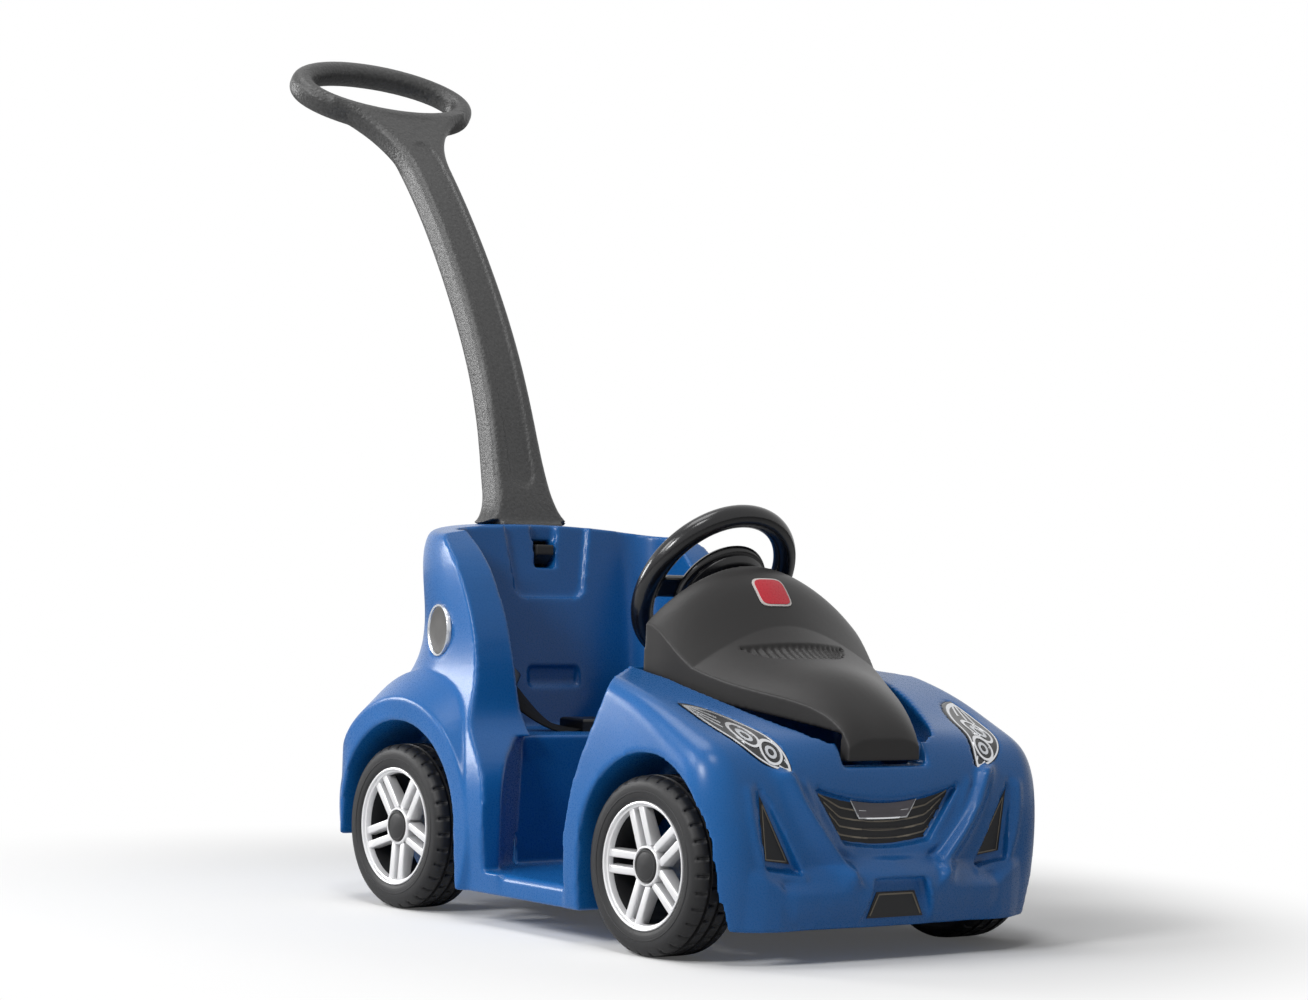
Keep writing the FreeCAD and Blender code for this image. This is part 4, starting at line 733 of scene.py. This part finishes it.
choose(barrel)
for part in [hub] + bars:
    part.select_set(True)
bpy.ops.object.join()
bpy.ops.object.shade_smooth_by_angle(angle=SMOOTH_TURNED)
rim = barrel
print("rim:", len(rim.data.polygons), "faces")

# %% Hub cap
CAP_STEPS = 48
cap_profile = [
    (16, 0.01), (16, 17.6), (26.6, 17.6), (27.6, 16.8), (27.8, 15.4), (27.2, 14.6), (27.4, 13.8),
    (28.6, 9), (29, 0.01)]
cap = turned("cap_pattern", cap_profile, CAP_STEPS, cap_grey)
print("cap:", len(cap.data.polygons), "faces")

# %% [markdown]
# Each corner gets its own tyre, rim and cap. On the right they are turned about, so that the outer
# face looks outwards, and the spokes stand as they do in the photograph.

# %% Put the wheels on the car
AXLES = {"front": -0.2335, "rear": 0.2335}
AXLE_HEIGHT = 0.095
WHEEL_MIDDLE = 0.208
SPOKE_TURN = {"front": math.radians(-90), "rear": math.radians(180)}
for place, y in AXLES.items():
    for word, side in SIDES.items():
        corner = Matrix.Translation((side * WHEEL_MIDDLE, y + SHIFT, AXLE_HEIGHT))
        facing = Matrix.Identity(4) if side > 0 else Matrix.Rotation(math.pi, 4, "Z")
        turn = Matrix.Rotation(SPOKE_TURN[place] * side, 4, "X")
        for pattern, node in ((tyre, "tyre"), (rim, "wheel_rim"), (cap, "hub_cap")):
            name = node + "_" + place + "_" + word
            piece = copied(pattern.data, "made_" + name)
            piece.data.transform(corner @ facing @ turn)
            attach(piece, body_of[name])
            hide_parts(name)
for pattern in (tyre, rim, cap):
    bpy.data.objects.remove(pattern)
print("wheels on", len(AXLES) * len(SIDES), "corners")

# %% [markdown]
# Behind the steering wheel a ribbed shroud hides the column, from the spokes down to the cowl. It
# is turned like the wheels, with two grooves in its flank, and then stood on the column's axis.

# %% Steering shroud
SHROUD_STEPS = 72
shroud_profile = [
    (6, 22), (5, 52), (6.5, 58), (10, 60.5), (14, 59.6), (16.5, 57.6), (17.5, 54.4), (19, 54.2),
    (21, 54.4), (25, 50), (27.5, 46), (28.5, 43.2), (30, 42.8), (32, 42), (36, 36), (39.5, 29),
    (41, 25), (41, 22)]
shroud = turned("steering_shroud", shroud_profile, SHROUD_STEPS, steering_black)
shroud.data.transform(stood(COLUMN_FOOT, column_axis))
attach(shroud, "steering")
print("shroud:", len(shroud.data.polygons), "faces")

# %% [markdown]
# Lamps, lines and plates are thin pieces that follow a moulded surface. Each starts as a flat
# grid. Its points are set out ahead of the car by a small rule, then dropped on to the surface
# behind them with a ray, and a Solidify modifier gives the piece its thickness. A point whose ray
# misses goes to the nearest place on the surface.

# %% Patch helper
STRAIGHT_BACK = Vector((0, 1, 0))
MISSED_RAY = 0.06
AHEAD = -420


def patch(name, target, grid, rule, lift, thick, finish, node, cast=STRAIGHT_BACK):
    """A thin piece on a surface. The rule turns grid shares (0 to 1) into points ahead of it."""
    across, along = grid
    bpy.ops.mesh.primitive_grid_add(x_subdivisions=across, y_subdivisions=along, size=1)
    piece = bpy.context.object
    piece.name = name
    for vertex in piece.data.vertices:
        start = rule(vertex.co.x + 0.5, vertex.co.y + 0.5)
        hit, place = target.ray_cast(start, cast)[:2]
        if not hit:
            place = target.closest_point_on_mesh(start + cast * MISSED_RAY)[1]
        vertex.co = place - cast * lift
    edit(piece)
    bpy.ops.mesh.remove_doubles(threshold=WELD)
    bpy.ops.mesh.normals_make_consistent(inside=False)
    leave_edit()
    if sum(face.normal.dot(cast) * face.area for face in piece.data.polygons) > 0:
        edit(piece)
        bpy.ops.mesh.flip_normals()
        leave_edit()
    wall = piece.modifiers.new("wall", "SOLIDIFY")
    wall.thickness = thick
    wall.offset = -1
    finish_modifiers(piece)
    bpy.ops.object.shade_smooth_by_angle(angle=SMOOTH_THIN)
    piece.data.materials.append(finish)
    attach(piece, body_of[node])


# %% [markdown]
# The headlights are printed and pressed pieces: a dark eye with a bright frame, two round lamps
# with bright rings and flat mirrors, and fine bright lines towards both tips. The eye is the shape
# between two equal arcs. Places on it are u along the eye and v across it.

# %% Outline of the headlights
EYE_LOW = Vector((132, 199))
EYE_HIGH = Vector((197, 265))
EYE_HALF_WIDTH = 19.0
FRAME_OUTSIDE = 0.955
eye_run = EYE_HIGH - EYE_LOW
eye_middle = (EYE_HIGH + EYE_LOW) / 2
eye_along = eye_run.normalized()
eye_across = Vector((-eye_along.y, eye_along.x))
eye_radius = (eye_run.length ** 2 / 4 + EYE_HALF_WIDTH ** 2) / (2 * EYE_HALF_WIDTH)


def eye_half(u):
    """Half width of the eye outline at a distance u from its middle."""
    return math.sqrt(max(eye_radius ** 2 - u ** 2, 0)) - (eye_radius - EYE_HALF_WIDTH)


def eye_point(side, u, v):
    """A point ahead of the nose for a place on the eye."""
    flat = eye_middle + eye_along * u + eye_across * v
    return mm(side * flat.x, AHEAD, flat.y)


def eye_frame(side, wide):
    """Rule for a frame of the given width along the outline of the eye."""
    half = eye_run.length / 2

    def rule(a, b):
        around = a * 2
        upper = around <= 1
        u = half * (1 - 2 * (around if upper else 2 - around))
        draw_in = FRAME_OUTSIDE - b * wide / EYE_HALF_WIDTH
        return eye_point(side, u * draw_in, (eye_half(u) if upper else -eye_half(u)) * draw_in)

    return rule


def eye_disc(side, middle, inner, outer):
    """Rule for a ring round a lamp; middle is its place along the eye."""
    def rule(a, b):
        radius = inner + (outer - inner) * b
        angle = 2 * math.pi * a
        return eye_point(side, middle + radius * math.cos(angle), radius * math.sin(angle))

    return rule


def eye_line(side, u0, u1, share, wide):
    """Rule for a line along the eye at a share of its half width."""
    def rule(a, b):
        u = u0 + (u1 - u0) * a
        return eye_point(side, u, eye_half(u) * share + wide * (b - 0.5))

    return rule


print("eye:", round(eye_run.length, 1), "mm long,", 2 * EYE_HALF_WIDTH, "mm wide")

# %% Headlights
lamp_dark = plastic("lamp_dark", (0.012, 0.013, 0.015), 0.2, 0.1, 0.003, 0.0001, 0.5)
lamp_bright = silver("lamp_bright", (0.66, 0.67, 0.69), 0.2, 0.85)
FRAME_WIDTH = 1.7
LAMPS = ((6.0, 11.5), (-17.0, 13.0))  # place along the eye, radius
RING_INSIDE = 0.80  # this and the next three are shares of the lamp's radius
MIRROR_OUTSIDE = 0.5
MIRROR_INSIDE = 0.26
BULB_OUTSIDE = 0.2
BULB_INSIDE = 0.01  # in millimetres, so that the disc closes in the middle
LAMP_LINES = (  # share of the half width, start and end along the eye
    (0.45, 21, 38), (-0.25, 20, 36), (0.1, 20, 40), (0.4, -32, -37), (-0.5, -30, -36))
LAMP_LINE_WIDTH = 1.6
for word, side in SIDES.items():
    node = "headlight_" + word
    bed = nodes[node]
    bed.data.materials.clear()
    bed.data.materials.append(lamp_dark)
    patch("eye_frame_" + word, bed, (72, 2), eye_frame(side, FRAME_WIDTH),
          lift=0.0006, thick=0.0012, finish=lamp_bright, node=node)
    for number, (middle, radius) in enumerate(LAMPS):
        tag = word + "_" + str(number)
        patch("lamp_ring_" + tag, bed, (48, 3),
              eye_disc(side, middle, radius * RING_INSIDE, radius),
              lift=0.0016, thick=0.0022, finish=lamp_bright, node=node)
        patch("lamp_mirror_" + tag, bed, (40, 6),
              eye_disc(side, middle, radius * MIRROR_INSIDE, radius * MIRROR_OUTSIDE),
              lift=0.0010, thick=0.0014, finish=lamp_silver, node=node)
        patch("lamp_bulb_" + tag, bed, (24, 3),
              eye_disc(side, middle, BULB_INSIDE, radius * BULB_OUTSIDE),
              lift=0.0014, thick=0.0012, finish=lamp_dark, node=node)
    for share, start, end in LAMP_LINES:
        patch("lamp_line_" + word + str(share), bed, (14, 2),
              eye_line(side, start, end, share, LAMP_LINE_WIDTH),
              lift=0.0006, thick=0.001, finish=lamp_bright, node=node)
print("headlights dressed")

# %% [markdown]
# The grille is a dark panel in a smile-shaped recess, with four thin lines that follow the smile
# and a bare plate hung from its upper edge. The lines stand a little proud of the panel.

# %% Grille
grille_line = silver("grille_line", (0.15, 0.13, 0.10), 0.4, 0.5)
plate_grey = plastic("plate_grey", (0.13, 0.12, 0.13), 0.4, 0.15, 0.0015, 0.0002, 0.3)
GRILLE_AHEAD = -361
GRILLE_TOP = 183
GRILLE_HALF = 103
GRILLE_SAG = 18
GRILLE_LOW = 125
GRILLE_LOW_HALF = 60
GRILLE_BELLY = 6
GRILLE_LINES = ((0.17, 66), (0.36, 76), (0.56, 84), (0.78, 92))  # share of the height, half length
GRILLE_LINE_WIDTH = 1.7
GRILLE_LINE_DRAW_IN = 0.98
SIGN_HALF = 33
SIGN_SPREAD = 13
SIGN_DROP = 15
SIGN_TOP = 0.985
SIGN_LOW = 0.98
SIGN_BEND = 0.6
SIGN_EDGE = 1.6


def smile(x, share):
    """Height on the grille at x, from its lower edge (0) to its upper edge (1)."""
    top = GRILLE_TOP - GRILLE_SAG * (1 - (x / GRILLE_HALF) ** 2)
    if abs(x) < GRILLE_LOW_HALF:
        low = GRILLE_LOW - GRILLE_BELLY * (1 - (x / GRILLE_LOW_HALF) ** 2)
    else:
        slope = (GRILLE_TOP - GRILLE_LOW) / (GRILLE_HALF - GRILLE_LOW_HALF)
        low = GRILLE_LOW + (abs(x) - GRILLE_LOW_HALF) * slope
    return low + (top - low) * share


def smile_line(share, half, wide):
    """Rule for a line across the grille at a share of its height."""
    def rule(a, b):
        x = half * (2 * a - 1)
        return mm(x, GRILLE_AHEAD, smile(x * GRILLE_LINE_DRAW_IN, share) + wide * (b - 0.5))

    return rule


def sign_rule(grow):
    """Rule for the plate under the grille's upper edge, or for its edge, which is a bit larger."""
    def rule(a, b):
        half = SIGN_HALF + SIGN_SPREAD * b + grow
        x = half * (2 * a - 1)
        top = smile(x, SIGN_TOP)
        low = smile(x * SIGN_BEND, SIGN_LOW) - SIGN_DROP - grow
        return mm(x, GRILLE_AHEAD, low + (top - low) * b)

    return rule


grille = nodes["grille_panel"]
for number, (share, half) in enumerate(GRILLE_LINES):
    patch("grille_line_" + str(number), grille, (48, 2), smile_line(share, half, GRILLE_LINE_WIDTH),
          lift=0.0006, thick=0.0014, finish=grille_line, node="grille_panel")
patch("grille_plate_edge", grille, (40, 6), sign_rule(SIGN_EDGE),
      lift=0.0016, thick=0.0016, finish=lamp_bright, node="grille_panel")
patch("grille_plate", grille, (40, 6), sign_rule(0),
      lift=0.0023, thick=0.0016, finish=plate_grey, node="grille_panel")
print("grille lined")

# %% [markdown]
# A small enamelled plate sits high on the bonnet. It is bare: a red field with rounded corners
# inside a pale rim. Its rule is a squared-off circle, so one grid gives the field and its edge.

# %% Bare plate on the bonnet
plate_red = plastic("plate_red", (0.56, 0.012, 0.03), 0.28, 0.05, 0.003, 0.00005, 0.4)
plate_rim = plastic("plate_rim", (0.70, 0.66, 0.64), 0.35, 0.05, 0.003, 0.00005, 0.2)
PLATE_MIDDLE = mm(0, -147.7, 382.7)
PLATE_OUT = Vector((0, -0.77, 0.64))
PLATE_UP = Vector((0, 0.64, 0.77))
PLATE_AHEAD = 0.05
PLATE_SQUARE = 5


def rounded_plate(half_wide, half_tall):
    """Rule for a plate with rounded corners, set out from its middle."""
    def rule(a, b):
        across, up = math.cos(2 * math.pi * a), math.sin(2 * math.pi * a)
        edge = (abs(across) ** PLATE_SQUARE + abs(up) ** PLATE_SQUARE) ** (1 / PLATE_SQUARE)
        reach = b / edge / 1000
        start = PLATE_MIDDLE + PLATE_OUT * PLATE_AHEAD + Vector((half_wide * across * reach, 0, 0))
        return start + PLATE_UP * half_tall * up * reach

    return rule


patch("plate_rim", soft_hood, (64, 6), rounded_plate(half_wide=22.5, half_tall=19.5),
      lift=0.0012, thick=0.0012, finish=plate_rim, node="hood_panel", cast=-PLATE_OUT)
patch("plate_field", soft_hood, (64, 6), rounded_plate(half_wide=20.2, half_tall=17.2),
      lift=0.0018, thick=0.0012, finish=plate_red, node="hood_panel", cast=-PLATE_OUT)
print("bonnet plate fixed")

# %% [markdown]
# The side vents and the chin panel carry one fine pale line just inside their outline. The chin's
# line leaves out the lower edge.

# %% Vent and chin lines
VENT_CORNERS = ((173, 168), (165, 110), (137, 107))
VENT_LINE_WIDTH = 1.3
CHIN_CORNERS = ((-36, 48.5), (36, 48.5), (24, 70.5), (-24, 70.5))
CHIN_LINE_WIDTH = 1.6


def edge_rule(start, end, wide):
    """Rule for a straight line between two (x, z) places on the nose."""
    start, end = Vector(start), Vector(end)
    along = (end - start).normalized()
    square = Vector((-along.y, along.x))

    def rule(a, b):
        flat = start + (end - start) * a + square * wide * (b - 0.5)
        return mm(flat.x, AHEAD, flat.y)

    return rule


for word, side in SIDES.items():
    node = "vent_panel_" + word
    corners = [(side * x, z) for x, z in VENT_CORNERS]
    for number, start in enumerate(corners):
        rule = edge_rule(start, corners[(number + 1) % len(corners)], VENT_LINE_WIDTH)
        patch("vent_line_" + word + str(number), nodes[node], (12, 2), rule,
              lift=0.0005, thick=0.001, finish=grille_line, node=node)
for number in range(1, len(CHIN_CORNERS)):
    end = CHIN_CORNERS[(number + 1) % len(CHIN_CORNERS)]
    rule = edge_rule(CHIN_CORNERS[number], end, CHIN_LINE_WIDTH)
    patch("chin_line_" + str(number), nodes["chin_panel"], (16, 2), rule,
          lift=0.0005, thick=0.001, finish=grille_line, node="chin_panel")
print("nose lines laid")

# %% [markdown]
# The round caps on the tower's sides are pressed plastic: a bright rolled ring round a dull,
# slightly dished disc. They are turned on the lathe and then tilted to the tower's wall.

# %% Side caps
SIDE_CAP_STEPS = 72
SIDE_CAP_PLACE = (203, 214, 323)
SIDE_CAP_TILT = math.radians(12)
SIDE_CAP_DEPTH = 0.007
ring_profile = [
    (0, 27), (0, 30.5), (4.2, 30.5), (5.0, 29.9), (5.2, 29), (4.8, 28), (3.6, 27.3)]
disc_profile = [
    (0, 0.01), (0, 27.2), (3.0, 27.2), (3.2, 26), (2.7, 24.4), (2.4, 12), (2.7, 0.01)]
ring = turned("cap_ring", ring_profile, SIDE_CAP_STEPS, lamp_silver)
disc = turned("cap_disc", disc_profile, SIDE_CAP_STEPS, fuel_cap_grey)
for word, side in SIDES.items():
    node = "fuel_cap_" + word
    x, y, z = SIDE_CAP_PLACE
    axis = Vector((side * math.cos(SIDE_CAP_TILT), math.sin(SIDE_CAP_TILT), 0))
    stand = stood(mm(side * x, y, z) - axis * SIDE_CAP_DEPTH, axis)
    for pattern in (ring, disc):
        piece = copied(pattern.data, pattern.name + "_" + word)
        piece.data.transform(stand)
        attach(piece, "car")
        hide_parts(node)
for pattern in (ring, disc):
    bpy.data.objects.remove(pattern)
print("side caps in")

# %% [markdown]
# The belt is black woven webbing. The weave is two crossed waves on Object coordinates, which move
# the colour and lift a small bump.

# %% Webbing
webbing = bpy.data.materials.new("belt_webbing")
webbing.use_nodes = True
net = webbing.node_tree
shader = net.nodes["Principled BSDF"]
shader.inputs["Roughness"].default_value = 0.75
shader.inputs["Specular IOR Level"].default_value = 0.15
place = add_node(net, "ShaderNodeTexCoord")
warp = add_node(net, "ShaderNodeTexWave", {"Scale": 55})
warp.bands_direction = "Y"
weft = add_node(net, "ShaderNodeTexWave", {"Scale": 90})
weft.bands_direction = "X"
woven = add_node(net, "ShaderNodeMath")
woven.operation = "MULTIPLY"
net.links.new(place.outputs["Object"], warp.inputs["Vector"])
net.links.new(place.outputs["Object"], weft.inputs["Vector"])
net.links.new(warp.outputs["Fac"], woven.inputs[0])
net.links.new(weft.outputs["Fac"], woven.inputs[1])
tint = add_node(net, "ShaderNodeValToRGB")
tint.color_ramp.elements[0].color = (0.002, 0.002, 0.0025, 1)
tint.color_ramp.elements[1].color = (0.006, 0.006, 0.007, 1)
net.links.new(woven.outputs[0], tint.inputs["Fac"])
net.links.new(tint.outputs["Color"], shader.inputs["Base Color"])
bump = add_node(net, "ShaderNodeBump", {"Strength": 0.5, "Distance": 0.0004})
net.links.new(woven.outputs[0], bump.inputs["Height"])
net.links.new(bump.outputs["Normal"], shader.inputs["Normal"])
print("webbing woven")

# %% [markdown]
# Each half of the belt hangs in a slack curve from its wall plate down to the buckle on the seat,
# and turns its face to the front on the way up, as a loose strap does.

# %% Belt
STRAP_INNER = 22
STRAP_OUTER = 146.3
STRAP_FLAT = 40
STRAP_PLACE = 184
STRAP_LOW = 210.5
STRAP_RISE = 74
STRAP_SLACK = 1.35
STRAP_WIDTH = 38
STRAP_TURN = math.radians(72)
STRAP_TURNED = 0.75
STRAP_THICK = 0.0018
STRAP_EDGE = 0.0006
for word, side in SIDES.items():
    bpy.ops.mesh.primitive_grid_add(x_subdivisions=40, y_subdivisions=8, size=1)
    strap = bpy.context.object
    strap.name = "strap_" + word
    for vertex in strap.data.vertices:
        along = vertex.co.x + 0.5
        across = STRAP_WIDTH * vertex.co.y
        x = STRAP_INNER + (STRAP_OUTER - STRAP_INNER) * along
        climb = max((x - STRAP_FLAT) / (STRAP_OUTER - STRAP_FLAT), 0)
        z = STRAP_LOW + STRAP_RISE * climb ** STRAP_SLACK
        turn = STRAP_TURN * min(along / STRAP_TURNED, 1)
        vertex.co = mm(side * x, STRAP_PLACE + across * math.cos(turn), z + across * math.sin(turn))
    edit(strap)
    bpy.ops.mesh.normals_make_consistent(inside=False)
    leave_edit()
    wall = strap.modifiers.new("wall", "SOLIDIFY")
    wall.thickness = STRAP_THICK
    bevel(strap, STRAP_EDGE, segments=2)
    finish_modifiers(strap)
    bpy.ops.object.shade_smooth_by_angle(angle=SMOOTH_THIN)
    strap.data.materials.append(webbing)
    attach(strap, "car")
    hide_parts("belt_strap_" + word)
print("belt hung")

# %% [markdown]
# Each strap runs through a chunky slide that takes up its length. It is a cube, drawn out in edit
# mode, bevelled, and set on the strap's own slope and turn.

# %% Belt slides
SLIDE_SIZE = (0.026, 0.012, 0.046)
SLIDE_PLACE = (120, 184, 264)
SLIDE_RUN = 0.766
SLIDE_RISE = 0.643
SLIDE_LEAN = Vector((0, 0.31, 0.95))
SLIDE_EDGE = 0.004
for word, side in SIDES.items():
    bpy.ops.mesh.primitive_cube_add(size=1)
    slide = bpy.context.object
    slide.name = "strap_slide_" + word
    edit(slide)
    bpy.ops.transform.resize(value=SLIDE_SIZE, center_override=(0, 0, 0))
    leave_edit()
    x, y, z = SLIDE_PLACE
    along = Vector((side * SLIDE_RUN, 0, SLIDE_RISE))
    across = (SLIDE_LEAN - along * SLIDE_LEAN.dot(along)).normalized()
    turn = Matrix((along, across.cross(along), across)).transposed()
    slide.data.transform(Matrix.Translation(mm(side * x, y, z)) @ turn.to_4x4())
    bevel(slide, SLIDE_EDGE, segments=3)
    finish_modifiers(slide)
    bpy.ops.object.shade_smooth_by_angle(angle=SMOOTH_THIN)
    slide.data.materials.append(buckle_black)
    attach(slide, "car")
print("slides on", len(SIDES), "straps")
